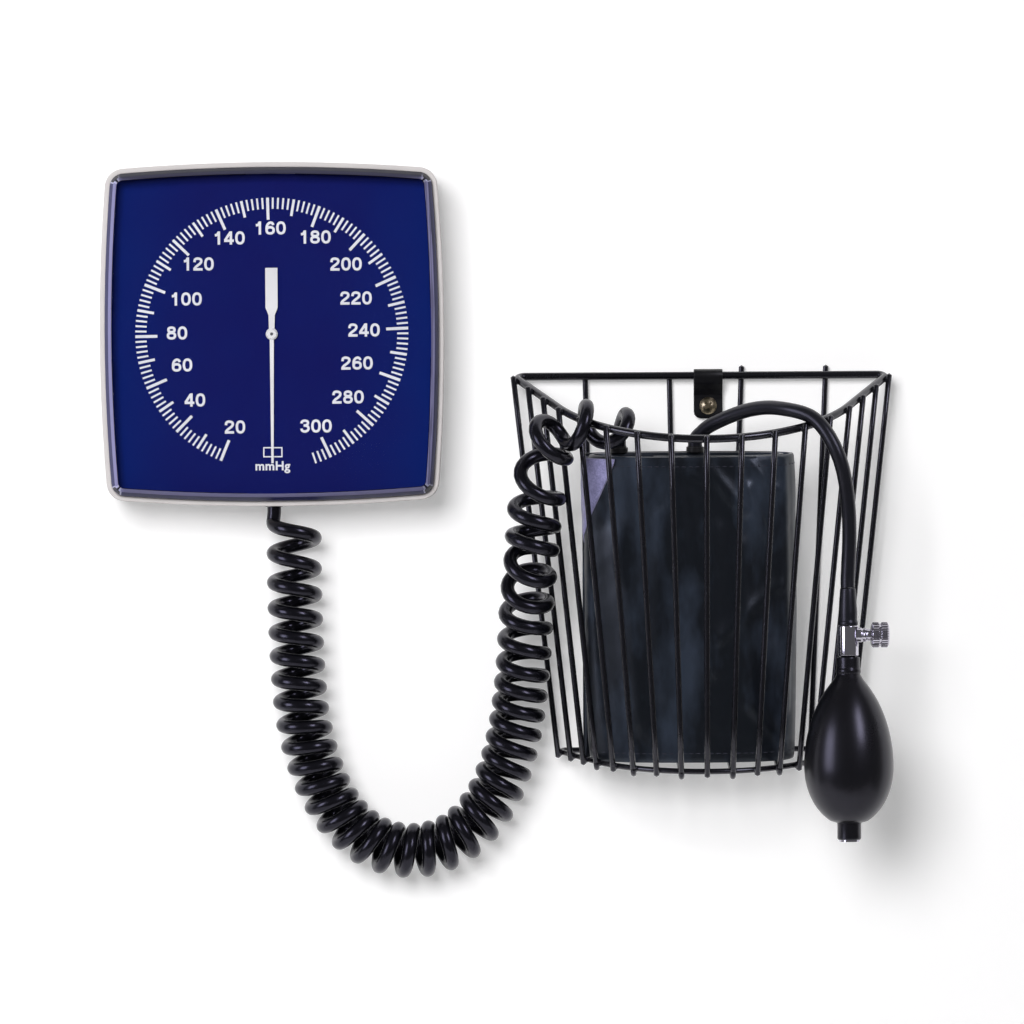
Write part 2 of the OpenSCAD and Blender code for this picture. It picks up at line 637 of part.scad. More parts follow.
module pointer() color("white") at_depth(pointer_d) difference() {
    union() {
        linear_extrude(pointer_t) polygon([
            [-1, 0], [-0.55, -needle_len], [0.55, -needle_len], [1, 0], [1.35, 3], [1.5, 9], [2.9, 12.5],
            [2.9, tail_len], [-2.9, tail_len], [-2.9, 12.5], [-1.5, 9], [-1.35, 3]]);
        cylinder(r = 2.85, h = pointer_t);
    }
    translate([0, 0, -1]) cylinder(r = hub_neck_r, h = 3);
}
module pointer_hub() color("white") at_depth(0) difference() {
    union() {
        translate([0, 0, pointer_d - 0.9]) cylinder(r = 1.9, h = 0.9);
        translate([0, 0, pointer_d - 0.5]) cylinder(r = hub_neck_r, h = pointer_t + 1);
        translate([0, 0, pointer_d + pointer_t]) cylinder(r1 = 2.85, r2 = 2.2, h = 0.7);
    }
    translate([0, 0, pointer_d - 2]) cylinder(r = arbor_r, h = 5);
}

// Curled tube: [x, depth, height, curl radius] of the curls' middle line, two curls a step
coil_route = [
    [9.5, 16, -89.2, 1], [9.5, 16, -115.2, 1], [10, 16, -139.2, 1], [11, 16, -161.3, 1], [13, 16, -182.5, 1],
    [17.5, 16, -202, 1], [24.5, 16, -219.5, 1], [35, 16, -234.3, 1], [50, 16, -244.5, 1], [68.5, 16, -247, 1],
    [86.5, 16, -241, 1], [100.5, 16, -227, 1], [109, 17, -210, 1], [114, 19, -192.5, 1],
    [117, 22, -174.5, 1], [119, 26, -155, 1], [120.5, 32, -131, 1], [123, 47.8, -105.9, 0.99],
    [125.5, 51.6, -81.7, 1.02], [136.4, 67.3, -46.5, 0.95], [169.9, 46.7, -46.8, 0.7]];
curls_a_step = 2;
rings_a_curl = 8;
// The curls end at the top of the last one, an eighth of a step before the last point
coil_end = len(coil_route) - 1.125;
curl_count = curls_a_step * coil_end;
// Turn of the curls at u steps, eased where the straight tube from the case enters the first curl
ease = 0.25;
function curl_turn(u) = 360 * curls_a_step * (u < ease ? u * u / (2 * ease) : u - ease / 2);
function coil_point(u) =
    let (
        h = 0.02, a = spline(coil_route, max(0, u - h)), b = spline(coil_route, u + h), m = spline(coil_route, u),
        t = unit([b[0] - a[0], a[1] - b[1], b[2] - a[2]]),
        e1 = unit(cross(t, [0, 1, 0])),
        e2 = cross(e1, t),
        w = 180 + curl_turn(u))
    [m[0], -m[1], m[2]] + curl_r * m[3] * (cos(w) * e1 + sin(w) * e2);
coil_steps = round(coil_end * curls_a_step * rings_a_curl);
coil_curve = [for (i = [0 : coil_steps]) coil_point(i / (curls_a_step * rings_a_curl))];
// Smooth bend from the top of the last curl down into the cuff's port
coil_top = coil_curve[coil_steps];
coil_way = unit(coil_top - coil_curve[coil_steps - 1]);
coil_foot = port_top(tube_port_step) + cuff_up * 4;
function port_bend(s) = (2 * s - 3) * s * s * (coil_top - coil_foot) + coil_top
    + 12 * s * (1 - s) * ((1 - s) * coil_way + s * cuff_up);
coil_pts = concat(
    [[0, -inlet_d, case_floor - 0.2], [0, -inlet_d, -85]], coil_curve,
    [for (s = [0.25, 0.5, 0.75, 1]) port_bend(s)], [port_top(tube_port_step)]);
coil_last = len(coil_pts) - 1;
coil_self_gap = min([for (i = [0 : coil_last]) for (j = [i + rings_a_curl / 2 : min(coil_last, i + 2 * rings_a_curl)])
    norm(coil_pts[i] - coil_pts[j])]) - tube_d;
module coiled_tube() color([0.07, 0.07, 0.08]) {
    echo(least_gap_between_curls = coil_self_gap);
    swept_tube(coil_pts, tube_d / 2, 6);
}

// Inflation hose from the cuff over the basket's rim to the bulb
hose_route = concat(
    [for (k = [0, 1.3, 2.6]) port_top(hose_port_step) + cuff_up * k],
    [for (p = [[0.5, -0.5, 4.2], [1.7, -1.3, 6], [4, -3, 7.7], [8, -6.3, 9.9]]) port_top(hose_port_step) + p],
    [[215.4, -43.6, -41.5], [224.6, -50.6, -38], [236.3, -60.4, -36.6], [244.9, -68.4, -38.3],
    [251.8, -71.8, -39.5], [257.9, -75.1, -43.3], [263.3, -77.9, -51.7], [267.6, -79, -60.6],
    [270.6, -76.2, -73.2], [272.2, -73.4, -88.8], [272.2, -71.2, -104.3],
    [bulb_x, bulb_y, hose_end_z + 7], [bulb_x, bulb_y, hose_end_z]]);
hose_steps = 4;
hose_pts = [for (i = [0 : (len(hose_route) - 1) * hose_steps]) spline(hose_route, i / hose_steps)];
module inflation_hose() color([0.07, 0.07, 0.08]) swept_tube(hose_pts, hose_d / 2, 10);

// Basket rims: triangles with a large rounded nose
function apex(w, reach, nose) =
    let (c = reach - nose, a = 180 - atan2(c, w / 2) - asin(nose / norm([w / 2, c])))
    w / 2 * tan(180 - a);
function rim_frame(slope, y, z, p) = [basket_x + p.x, -y - p.y * cos(slope), z - p.y * sin(slope)];
module rim(w, reach, nose, slope, y, z, r) wire_loop(
    [for (p = [[-w / 2, 0], [w / 2, 0], [0, apex(w, reach, nose)]]) rim_frame(slope, y, z, p)],
    [corner_bend, corner_bend, nose], r);
module basket_top_rim() color([0.06, 0.06, 0.07]) rim(rim_w, rim_reach, rim_nose_r, rim_slope, rail_y, rim_z, rim_r);
module basket_bottom_rim() color([0.06, 0.06, 0.07]) rim(foot_w, foot_reach, foot_nose_r, foot_slope, foot_y, foot_z, foot_r);

// Point at a share s (-1 to 1) of the way round a rim's front, stood off to the outside
function front_point(w, reach, nose, s, off) =
    let (
        c = reach - nose,
        lean = atan2(apex(w, reach, nose), w / 2),
        half_arc = lean,
        arc = nose * half_arc * PI / 180,
        run = sqrt(w * w / 4 + c * c - nose * nose),
        d = abs(s) * (arc + run - corner_room),
        side = s < 0 ? -1 : 1,
        a = min(d / arc, 1) * half_arc,
        over = max(0, d - arc),
        n = [sin(a), cos(a)])
    [0, c] + [side * ((nose + off) * n.x + over * cos(lean)), (nose + off) * n.y - over * sin(lean)];
function front_wire_top(k) = rim_frame(rim_slope, rail_y, rim_z,
    front_point(rim_w, rim_reach, rim_nose_r, k / wires_a_side, rim_r + wire_r - weld));
function front_wire_foot(k) = rim_frame(foot_slope, foot_y, foot_z,
    front_point(foot_w, foot_reach, foot_nose_r, k / wires_a_side, foot_r + wire_r - weld));
// Odd wires next to the middle turn back under the basket as its floor
function is_floor_wire(k) = abs(k) == 1 || abs(k) == 3 || abs(k) == 5;
bend_r = 2.6;
floor_drop = foot_r + wire_r - weld + 0.2;
function floor_front(k) =
    let (a = front_wire_top(k), b = front_wire_foot(k), u = unit(b - a))
    b - u * floor_drop / u.z;
function floor_back(k) = [floor_front(k).x, abs(k) == 3 ? -2 : -back_wire_y, foot_z - floor_drop];
// The outer and inner pairs go on up behind the basket as its back wires
function back_top(k) = [basket_x + 2.3 + (k < 0 ? -1 : 1) * (abs(k) == 1 ? 17.4 : 57.9), -back_wire_y,
    rim_z + (k < 0 ? 1.2 : 4.2)];
module front_wires() color([0.06, 0.06, 0.07]) for (k = [-wires_a_side : wires_a_side]) {
    a = front_wire_top(k);
    b = front_wire_foot(k);
    u = unit(b - a);
    end = is_floor_wire(k)
        ? floor_front(k) - u * bend_trim(a, floor_front(k), floor_back(k), bend_r)
        : b + u * 2;
    straight_wire(a - u * 2.2, end, wire_r);
}
module floor_wires() color([0.06, 0.06, 0.07]) for (k = [-5, -3, -1, 1, 3, 5]) {
    a = front_wire_top(k);
    c = floor_front(k);
    e = floor_back(k);
    v = unit(e - c);
    wire_bend(a, c, e, bend_r, wire_r);
    joined_wire(c + v * bend_trim(a, c, e, bend_r),
        abs(k) == 3 ? e : e - v * (bend_trim(c, e, back_top(k), bend_r) + joint_reach), wire_r);
}
module back_wires() color([0.06, 0.06, 0.07]) for (k = [-5, -1, 1, 5]) {
    c = floor_front(k);
    e = floor_back(k);
    t = back_top(k);
    wire_bend(c, e, t, bend_r, wire_r);
    joined_wire(e + unit(t - e) * bend_trim(c, e, t, bend_r), t, wire_r);
}

// Hanger strap folded over the back rail, and its screw
strap_t = 1.2;
strap_low = 20.2;
strap_gap = 0.4;
loop_r = rim_r + slip_gap;
leg_d = strap_gap + strap_t;
front_d = leg_d + strap_t;
module hanger_strap() color([0.08, 0.08, 0.09]) difference() {
    intersection() {
        translate([hanger_x - hanger_w / 2, 0, rim_z]) rotate([90, 0, 90]) linear_extrude(hanger_w) difference() {
            polygon(concat(
                [[-strap_gap, -strap_low], [-strap_gap, -5]],
                [for (a = [0 : 15 : 180]) [-rail_y, 0] + (loop_r + strap_t) * [cos(a), sin(a)]],
                [[-rail_y - loop_r - strap_t, -2.6], [-front_d, -8.2], [-front_d, -strap_low]]));
            polygon(concat(
                [[-leg_d, -5.2]],
                [for (a = [0 : 15 : 180]) [-rail_y, 0] + loop_r * [cos(a), sin(a)]],
                [[-rail_y - loop_r, -2.2], [-leg_d, -7.8]]));
        }
        translate([hanger_x, 1, rim_z - strap_low + 20]) rotate([90, 0, 0])
            linear_extrude(12) soft_bar(hanger_w, 40, 3.5);
    }
    translate([hanger_x, 1, hanger_screw_z]) rotate([90, 0, 0]) cylinder(r = screw_r + slip_gap, h = 9);
}
screw_seat_d = front_d;
screw_len = 26;
module hanger_screw() color([0.8, 0.7, 0.4]) translate([hanger_x, -screw_seat_d, hanger_screw_z]) rotate([90, 0, 0]) difference() {
    union() {
        intersection() {
            translate([0, 0, 3 - 5.2]) sphere(r = 5.2);
            cylinder(d = screw_head_d, h = 3);
        }
        translate([0, 0, -screw_seat_d - 1]) cylinder(r = screw_r - 0.2, h = screw_seat_d + 2);
        translate([0, 0, -screw_seat_d - screw_len + 4]) cylinder(r = screw_r, h = screw_len - 5);
        translate([0, 0, -screw_seat_d - screw_len]) cylinder(r1 = 0.3, r2 = screw_r, h = 4);
    }
    for (a = [45, 135]) rotate(a) translate([-2.2, -0.55, 1.6]) cube([4.4, 1.1, 3]);
}

// Rolled cuff: a padded strip wound into a flattened roll that leans with the basket's front
function roll_point(a, pitch_in) =
    let (
        hw = cuff_half_w - pitch_in * a / 360, hd = cuff_half_d - pitch_in * a / 360, w = a + cuff_start,
        c = cos(w), s = sin(w), flat = 2 / 2.7,
        px = (c < 0 ? -1 : 1) * pow(abs(c), flat), py = (s < 0 ? -1 : 1) * pow(abs(s), flat))
    [hw * px * (1 - 0.1 * py), -hd * py];
function roll_frame(step) =
    let (a = cuff_step * step, p = roll_point(a, cuff_pitch),
        t = unit(roll_point(a + 0.5, cuff_pitch) - roll_point(a - 0.5, cuff_pitch)))
    [p, [t.y, -t.x]];
module wound_strip(section, first, last) {
    m = len(section);
    n = ceil(last - first);
    pts = [for (i = [0 : n]) let (f = roll_frame(lerp(first, last, i / n)))
        for (s = section) [f[0].x + s.x * f[1].x, f[0].y + s.x * f[1].y, s.y]];
    faces = concat(
        [for (i = [0 : n - 1]) for (j = [0 : m - 1])
            let (a = i * m + j, b = i * m + (j + 1) % m) each [[a, a + m, b], [b, a + m, b + m]]],
        [for (j = [1 : m - 2]) [0, j, j + 1]],
        [for (j = [1 : m - 2]) [n * m, n * m + j + 1, n * m + j]]);
    polyhedron(points = pts, faces = faces, convexity = 10);
}
function cuff_at(p) = [cuff_x + p.x, cuff_y + p.y * cos(cuff_lean) - p.z * sin(cuff_lean),
    cuff_z + p.y * sin(cuff_lean) + p.z * cos(cuff_lean)];
function port_top(step) =
    let (p = roll_frame(step)[0]) cuff_at([p.x, p.y, cuff_h + seat_gap + port_h]);
module cuff_place() translate([cuff_x, cuff_y, cuff_z]) rotate([cuff_lean, 0, 0]) children();
function padded(t, h, edge) = [
    [-edge, 0], [-t / 2 + 0.15, 9], [-t / 2, 40], [-t / 2, h - 40], [-t / 2 + 0.15, h - 9], [-edge, h],
    [edge, h], [t / 2 - 0.15, h - 9], [t / 2, h - 40], [t / 2, 40], [t / 2 - 0.15, 9], [edge, 0]];
function pocket(half, margin) = [
    [-0.3, margin], [-half, margin + 5], [-half, cuff_h - margin - 5], [-0.3, cuff_h - margin],
    [0.3, cuff_h - margin], [half, cuff_h - margin - 5], [half, margin + 5], [0.3, margin]];
module cuff_sleeve() color([0.1, 0.11, 0.16]) cuff_place()
    difference() {
        wound_strip(padded(cuff_t, cuff_h, 0.8), 0, sleeve_steps);
        wound_strip(pocket(cuff_t / 2 - 0.9, 8), bladder_first, bladder_last);
    }
module cuff_bladder() color([0.12, 0.12, 0.13]) cuff_place()
    wound_strip(pocket(cuff_t / 2 - 1.1, 8.5), bladder_first + 0.2, bladder_last - 0.2);

// Hook-and-loop patch on the outside of the roll, at its upper left, cut to a slant
patch_first = 25;
patch_last = 31;
patch_t = 0.9;
module cuff_loop_patch() color([0.55, 0.55, 0.68]) cuff_place() {
    n = patch_last - patch_first;
    low = cuff_t / 2 + 0.25;
    pts = [for (i = [0 : n]) let (f = roll_frame(patch_first + i), drop = lerp(7, 40, i / n))
        for (s = [[-low - patch_t, cuff_h - drop], [-low - patch_t, cuff_h - 1], [-low, cuff_h - 1], [-low, cuff_h - drop]])
            [f[0].x + s.x * f[1].x, f[0].y + s.x * f[1].y, s.y]];
    faces = concat(
        [for (i = [0 : n - 1]) for (j = [0 : 3])
            let (a = i * 4 + j, b = i * 4 + (j + 1) % 4) each [[a, a + 4, b], [b, a + 4, b + 4]]],
        [[0, 1, 2], [0, 2, 3], [n * 4, n * 4 + 2, n * 4 + 1], [n * 4, n * 4 + 3, n * 4 + 2]]);
    polyhedron(points = pts, faces = faces);
}

// Rubber ports on the cuff's top edge
module cuff_port(step) color([0.1, 0.1, 0.11]) {
    p = roll_frame(step)[0];
    cuff_place() translate([p.x, p.y, cuff_h + seat_gap]) {
        cylinder(r = 4.2, h = port_h - 0.8);
        cylinder(r = 3.5, h = port_h);
    }
}
module tube_port() cuff_port(tube_port_step);
module hose_port() cuff_port(hose_port_step);

// End of the hose, stretched over the valve's barb
barb_r = 2.1;
module hose_end_sleeve() color([0.08, 0.08, 0.09]) translate([bulb_x, bulb_y, 0]) rotate_extrude() polygon([
    [barb_r + 0.05, valve_top_z + 0.1], [4.6, valve_top_z + 0.1], [4.6, valve_top_z + 6],
    [4.1, valve_top_z + 12], [3.6, hose_end_z - 0.1], [1.2, hose_end_z - 0.1], [1.2, valve_top_z + 9.1],
    [barb_r + 0.05, valve_top_z + 9.1]]);

// Chrome valve: barb on top, screw-down release needle at the side, one-way ball below
seat_r = 0.8;
stem_r = 1.4;
spigot_low = 8.6;
outlet_ball_r = 1.3;
outlet_lift = 0.6;
outlet_seat_z = valve_low_z - spigot_low + 1.2;
module release_valve_body() color([0.85, 0.85, 0.87]) translate([bulb_x, bulb_y, 0]) difference() {
    union() {
        rotate_extrude() polygon([
            [0, valve_low_z - spigot_low], [3.3, valve_low_z - spigot_low], [3.3, valve_low_z],
            [valve_d / 2 - 0.5, valve_low_z], [valve_d / 2, valve_low_z + 0.5],
            [valve_d / 2, valve_top_z - 0.5], [valve_d / 2 - 0.5, valve_top_z], [barb_r, valve_top_z],
            [barb_r, valve_top_z + 8.2], [barb_r - 0.7, valve_top_z + 9], [0, valve_top_z + 9]]);
        translate([0, 0, knob_z]) rotate([0, 90, 0]) cylinder(r = 2.6, h = stub_end);
    }
    translate([0, 0, outlet_seat_z]) cylinder(r = outlet_ball_r + slip_gap, h = 4);
    translate([0, 0, valve_low_z - spigot_low - 1]) cylinder(r = 0.9, h = 4);
    translate([0, 0, outlet_seat_z + 3]) cylinder(r = 0.9, h = 40);
    translate([0, 0, knob_z]) rotate([0, 90, 0]) {
        cylinder(r = seat_r, h = stub_end);
        translate([0, 0, 2.4]) cylinder(r = stem_r + run_fit, h = stub_end);
    }
    translate([4.2, 0, knob_z - 1]) rotate([90, 0, 0]) translate([-0.6, 0, -6]) cylinder(r = 0.6, h = 12);
}
module outlet_ball() color("silver")
    translate([bulb_x, bulb_y, outlet_seat_z + sqrt(pow(outlet_ball_r, 2) - 0.81) + 0.03]) sphere(r = outlet_ball_r);
module valve_needle() color("silver") translate([bulb_x, bulb_y, knob_z]) rotate([0, 90, 0]) {
    translate([0, 0, 3.6]) cylinder(r = stem_r, h = stub_end - 3.6 + 6);
    translate([0, 0, 2.5]) cylinder(r1 = 0.5, r2 = stem_r, h = 1.1);
}
knurls = 30;
module valve_knob() color([0.85, 0.85, 0.87]) translate([bulb_x + stub_end + slip_gap, bulb_y, knob_z]) rotate([0, 90, 0])
    difference() {
        union() {
            for (z = [0.6, knob_l / 2 + 0.5]) translate([0, 0, z]) linear_extrude(knob_l / 2 - 1.1) polygon([
                for (i = [0 : 2 * knurls - 1]) let (r = knob_d / 2 - (i % 2) * 0.45)
                    r * [cos(180 * i / knurls), sin(180 * i / knurls)]]);
            rotate_extrude() polygon([
                [0, 0], [knob_d / 2 - 1.2, 0], [knob_d / 2 - 0.6, 0.6], [knob_d / 2 - 0.6, knob_l - 0.6],
                [knob_d / 2 - 1.4, knob_l], [0, knob_l]]);
        }
        translate([0, 0, -1]) cylinder(r = stem_r, h = 1 + 6 - slip_gap);
    }

// Rubber bulb: thin egg with a beaded neck above and a collar below
function egg(z) = let (semi = z > belly_z ? belly_up : belly_down)
    bulb_d / 2 * sqrt(max(0, 1 - pow((z - belly_z) / semi, 2)));
egg_top = valve_low_z - 9;
egg_low = belly_z - 34.6;
module rubber_bulb() color([0.1, 0.1, 0.11]) translate([bulb_x, bulb_y, 0]) rotate_extrude() polygon(concat(
    [[3.35, valve_low_z - 0.1], [neck_r - 0.4, valve_low_z - 0.1], [neck_r, valve_low_z - 0.6],
        [neck_r, valve_low_z - 6], [neck_r + 0.9, valve_low_z - 7], [neck_r + 0.9, egg_top]],
    [for (i = [1 : 15]) let (z = lerp(egg_top, egg_low, i / 16)) [egg(z), z]],
    [[neck_r, egg_low], [neck_r, bulb_foot_z + 0.5], [neck_r - 0.5, bulb_foot_z],
        [end_valve_r + 0.05, bulb_foot_z], [end_valve_r + 0.05, egg_low + 2]],
    [for (i = [15 : -1 : 1]) let (z = lerp(egg_top - bulb_wall - 1, egg_low + bulb_wall + 1, i / 16))
        [max(end_valve_r + 0.05, egg(z) - bulb_wall), z]],
    [[3.35, egg_top - 1]]));

// Inlet valve in the bulb's foot
inlet_seat_z = bulb_foot_z + 3;
module end_valve_body() color("silver") translate([bulb_x, bulb_y, 0]) difference() {
    union() {
        translate([0, 0, bulb_foot_z]) cylinder(r = end_valve_r, h = egg_low + 2 - bulb_foot_z);
        translate([0, 0, bulb_foot_z - 0.9]) cylinder(r = end_valve_r + 0.8, h = 0.9);
    }
    translate([0, 0, inlet_seat_z]) cylinder(r = ball_r + slip_gap, h = 2 * ball_r + ball_lift);
    translate([0, 0, bulb_foot_z + 0.6]) cylinder(r = 1.2, h = 12);
    translate([0, 0, bulb_foot_z - 2]) cylinder(r = 2.9, h = 2.6);
    translate([-3, -0.4, inlet_seat_z + 2 * ball_r + ball_lift - 0.1]) cube([6, 0.8, 9]);
}
module end_valve_ball() color("silver")
    translate([bulb_x, bulb_y, inlet_seat_z + sqrt(ball_r * ball_r - 1.44) + 0.03]) sphere(r = ball_r);
module end_valve_filter() color([0.7, 0.7, 0.65]) translate([bulb_x, bulb_y, bulb_foot_z - 0.6]) difference() {
    cylinder(r = 2.85, h = 1.1);
    for (a = [0 : 60 : 300]) rotate(a) translate([1.6, 0, -1]) cylinder(r = 0.45, h = 3, $fn = 16);
    translate([0, 0, -1]) cylinder(r = 0.45, h = 3, $fn = 16);
}

wall_plate();
case_back();
cover_gasket();
clear_cover();
dial_plate();
dial_scale();
movement_back_plate();
movement_front_plate();
movement_pillars();
movement_screws();
plate_screws();
sector_gear();
sector_arbor();
rocking_shaft();
capsule();
capsule_post();
inlet_block();
inlet_pipe();
inlet_connector();
tube_grommet();
pointer_arbor();
drive_pinion();
hairspring();
hairspring_collet();
hairspring_stud();
pointer();
pointer_hub();
coiled_tube();
inflation_hose();
basket_top_rim();
basket_bottom_rim();
front_wires();
floor_wires();
back_wires();
hanger_strap();
hanger_screw();
cuff_sleeve();
cuff_bladder();
cuff_loop_patch();
tube_port();
hose_port();
hose_end_sleeve();
release_valve_body();
valve_knob();
valve_needle();
outlet_ball();
rubber_bulb();
end_valve_body();
end_valve_ball();
end_valve_filter();
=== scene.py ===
"""Looks of a wall-mounted aneroid sphygmomanometer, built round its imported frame.

A square gauge hangs on the wall. A curled tube joins it to a rolled cuff in a wire basket, and a
hose leads from the cuff to a hand bulb. Lengths inside the classes are millimetres; x runs to the
right, z up, and the wall is the plane y = 0 with everything in front of it at negative y.
"""

import logging
import math
from dataclasses import dataclass, field
from enum import Enum
from typing import Any, Iterable, Optional, Sequence, Union

import bmesh
import bpy
import numpy as np
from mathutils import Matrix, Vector

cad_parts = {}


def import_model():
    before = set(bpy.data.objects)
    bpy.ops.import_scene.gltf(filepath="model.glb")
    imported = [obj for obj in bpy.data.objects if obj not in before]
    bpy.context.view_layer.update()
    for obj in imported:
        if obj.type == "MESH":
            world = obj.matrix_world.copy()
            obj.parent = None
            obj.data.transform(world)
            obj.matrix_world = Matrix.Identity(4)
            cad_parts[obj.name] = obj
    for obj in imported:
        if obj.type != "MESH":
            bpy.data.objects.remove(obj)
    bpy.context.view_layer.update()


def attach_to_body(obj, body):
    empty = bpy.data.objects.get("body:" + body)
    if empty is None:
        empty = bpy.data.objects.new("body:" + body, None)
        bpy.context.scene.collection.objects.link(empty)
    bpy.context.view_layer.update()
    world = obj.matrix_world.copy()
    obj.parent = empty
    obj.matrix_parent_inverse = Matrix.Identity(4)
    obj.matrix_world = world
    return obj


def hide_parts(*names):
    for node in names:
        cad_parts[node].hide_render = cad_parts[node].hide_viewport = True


log = logging.getLogger("sphygmomanometer")

MM = 0.001
Array = np.ndarray
Colour = tuple[float, float, float]
Points = tuple[tuple[float, float], ...]


# Vectors and curves


def unit(v: Array) -> Array:
    """Each vector of the last axis divided by its length."""
    return v / np.maximum(np.linalg.norm(v, axis=-1, keepdims=True), 1e-12)


def smoothstep(t: Array) -> Array:
    """The cubic 3t^2 - 2t^3 of t held between 0 and 1."""
    t = np.clip(t, 0.0, 1.0)
    return t * t * (3.0 - 2.0 * t)


def spline(route: Array, u: Array) -> Array:
    """A curve through route points, each stretch a cubic whose end slopes are half the chord
    between the neighbouring points.

    Args:
        route: route points, one row each.
        u: places on the curve, counted in route points from 0.
    Returns:
        One row a place.
    """
    last = len(route) - 1
    k = np.minimum(last - 1, np.floor(u).astype(int))
    t = (u - k)[:, None]
    a, b = route[np.maximum(0, k - 1)], route[k]
    c, d = route[k + 1], route[np.minimum(last, k + 2)]
    return 0.5 * (2 * b + (c - a) * t + (2 * a - 5 * b + 4 * c - d) * t**2
                  + (3 * b - 3 * c + d - a) * t**3)


def arc_lengths(path: Array) -> Array:
    """Running length along a path of points, from 0."""
    return np.concatenate([[0.0], np.cumsum(np.linalg.norm(np.diff(path, axis=0), axis=1))])


def resample(path: Array, count: int) -> Array:
    """The same path as count points at equal spacing."""
    s = arc_lengths(path)
    even = np.linspace(0.0, s[-1], count)
    return np.stack([np.interp(even, s, path[:, i]) for i in range(3)], axis=1)


def eased(path: Array, reach: int) -> Array:
    """The path with each point moved to the mean of its neighbours, up to reach on each side, and
    fewer near the two ends, which stay."""
    total = np.vstack([np.zeros((1, 3)), np.cumsum(path, axis=0)])
    i = np.arange(len(path))
    r = np.minimum(reach, np.minimum(i, len(path) - 1 - i))
    return (total[i + r + 1] - total[i - r]) / (2 * r + 1)[:, None]


def rolling_noise(points: Array, size: float, seed: int, waves: int = 9) -> Array:
    """A smooth random field: the mean of sines along seeded random directions.

    Args:
        points: places, in millimetres.
        size: typical length of one wave.
        seed: picks the directions and phases.
        waves: how many sines are summed.
    Returns:
        One value a place, mostly between -1 and 1.
    """
    rng = np.random.default_rng(seed)
    ways = unit(rng.normal(size=(waves, 3))) * rng.uniform(0.6, 1.6, (waves, 1)) * 2 * math.pi / size
    shift = rng.uniform(0, 2 * math.pi, waves)
    return np.sin(points @ ways.T + shift).sum(-1) / math.sqrt(waves)


# Meshes


def add_mesh(name: str, verts: Array, faces: Sequence[Sequence[int]], sharp: float = 40.0,
             weld: bool = True, uv: Optional[Array] = None) -> bpy.types.Object:
    """Makes a mesh object at the origin from millimetre points.

    Args:
        name: the piece's name.
        verts: points, one row each.
        faces: corner numbers of each face.
        sharp: edges that turn more than this many degrees stay crisp.
        weld: merge points that coincide, and turn all faces outwards.
        uv: one place a vertex on the piece's own flat map.
    Returns:
        The new object.
    """
    mesh = bpy.data.meshes.new(name)
    mesh.from_pydata((np.asarray(verts) * MM).tolist(), [], [list(f) for f in faces])
    if uv is not None:
        corners = np.empty(len(mesh.loops), dtype=np.int32)
        mesh.loops.foreach_get("vertex_index", corners)
        mesh.uv_layers.new(name="UVMap").data.foreach_set("uv", uv[corners].astype(np.float32).ravel())
    piece = bpy.data.objects.new(name, mesh)
    bpy.context.scene.collection.objects.link(piece)
    settle(mesh, sharp, weld)
    return piece


def settle(mesh: bpy.types.Mesh, sharp: float, weld: bool = True) -> None:
    """Merges doubles, turns faces outwards and sets smooth shading with crisp edges."""
    if weld:
        work = bmesh.new()
        work.from_mesh(mesh)
        bmesh.ops.remove_doubles(work, verts=work.verts, dist=2e-6)
        bmesh.ops.recalc_face_normals(work, faces=work.faces)
        work.to_mesh(mesh)
        work.free()
    mesh.polygons.foreach_set("use_smooth", np.ones(len(mesh.polygons), dtype=bool))
    mesh.set_sharp_from_angle(angle=math.radians(sharp))
    mesh.update()


def grid_faces(rows: int, columns: int, around: bool = True, along: bool = False) -> Array:
    """Corner numbers of the quads of a grid of points numbered row by row.

    Args:
        rows: points along the surface.
        columns: points across it.
        around: the last column joins the first.
        along: the last row joins the first.
    Returns:
        One row of four numbers a quad.
    """
    i = np.arange(rows if along else rows - 1)[:, None]
    j = np.arange(columns if around else columns - 1)[None, :]
    up, across = (i + 1) % rows, (j + 1) % columns
    quads = np.stack([i * columns + j, i * columns + across, up * columns + across,
                      up * columns + j], axis=-1)
    return quads.reshape(-1, 4)


def add_skin(name: str, grid: Array, around: bool = True, along: bool = False,
             caps: bool = False, sharp: float = 40.0, uv: Optional[Array] = None) -> bpy.types.Object:
    """Makes a surface from a grid of points of shape (rows, columns, 3).

    Args:
        name: the piece's name.
        grid: the points.
        around: the last column joins the first.
        along: the last row joins the first.
        caps: close the first and last rows with flat faces.
        sharp: degrees past which an edge stays crisp.
        uv: map places of shape (rows, columns, 2).
    Returns:
        The new object.
    """
    rows, columns = grid.shape[:2]
    faces: list[Sequence[int]] = grid_faces(rows, columns, around, along).tolist()
    if caps:
        faces.append(list(range(columns)))
        faces.append(list(range(columns * rows - 1, columns * (rows - 1) - 1, -1)))
    flat = None if uv is None else uv.reshape(-1, 2)
    return add_mesh(name, grid.reshape(-1, 3), faces, sharp, uv=flat)


def tube_grid(path: Array, radius: Union[Array, float], sides: int, reference: Array) -> Array:
    """Rings of a tube: the centre plus radius times cos and sin along two directions square to
    the path, the first of them square to the reference as well.

    Args:
        path: centre points.
        radius: one radius, or one a point.
        sides: points a ring.
        reference: a direction, or one a point, never along the path.
    Returns:
        Points of shape (len(path), sides, 3).
    """
    along = unit(np.gradient(path, axis=0))
    first = unit(np.cross(along, np.broadcast_to(reference, path.shape)))
    second = np.cross(along, first)
    turn = np.linspace(0.0, 2 * math.pi, sides, endpoint=False)
    size = np.broadcast_to(np.asarray(radius, dtype=float), (len(path),))[:, None, None]
    return path[:, None] + size * (np.cos(turn)[None, :, None] * first[:, None]
                                   + np.sin(turn)[None, :, None] * second[:, None])


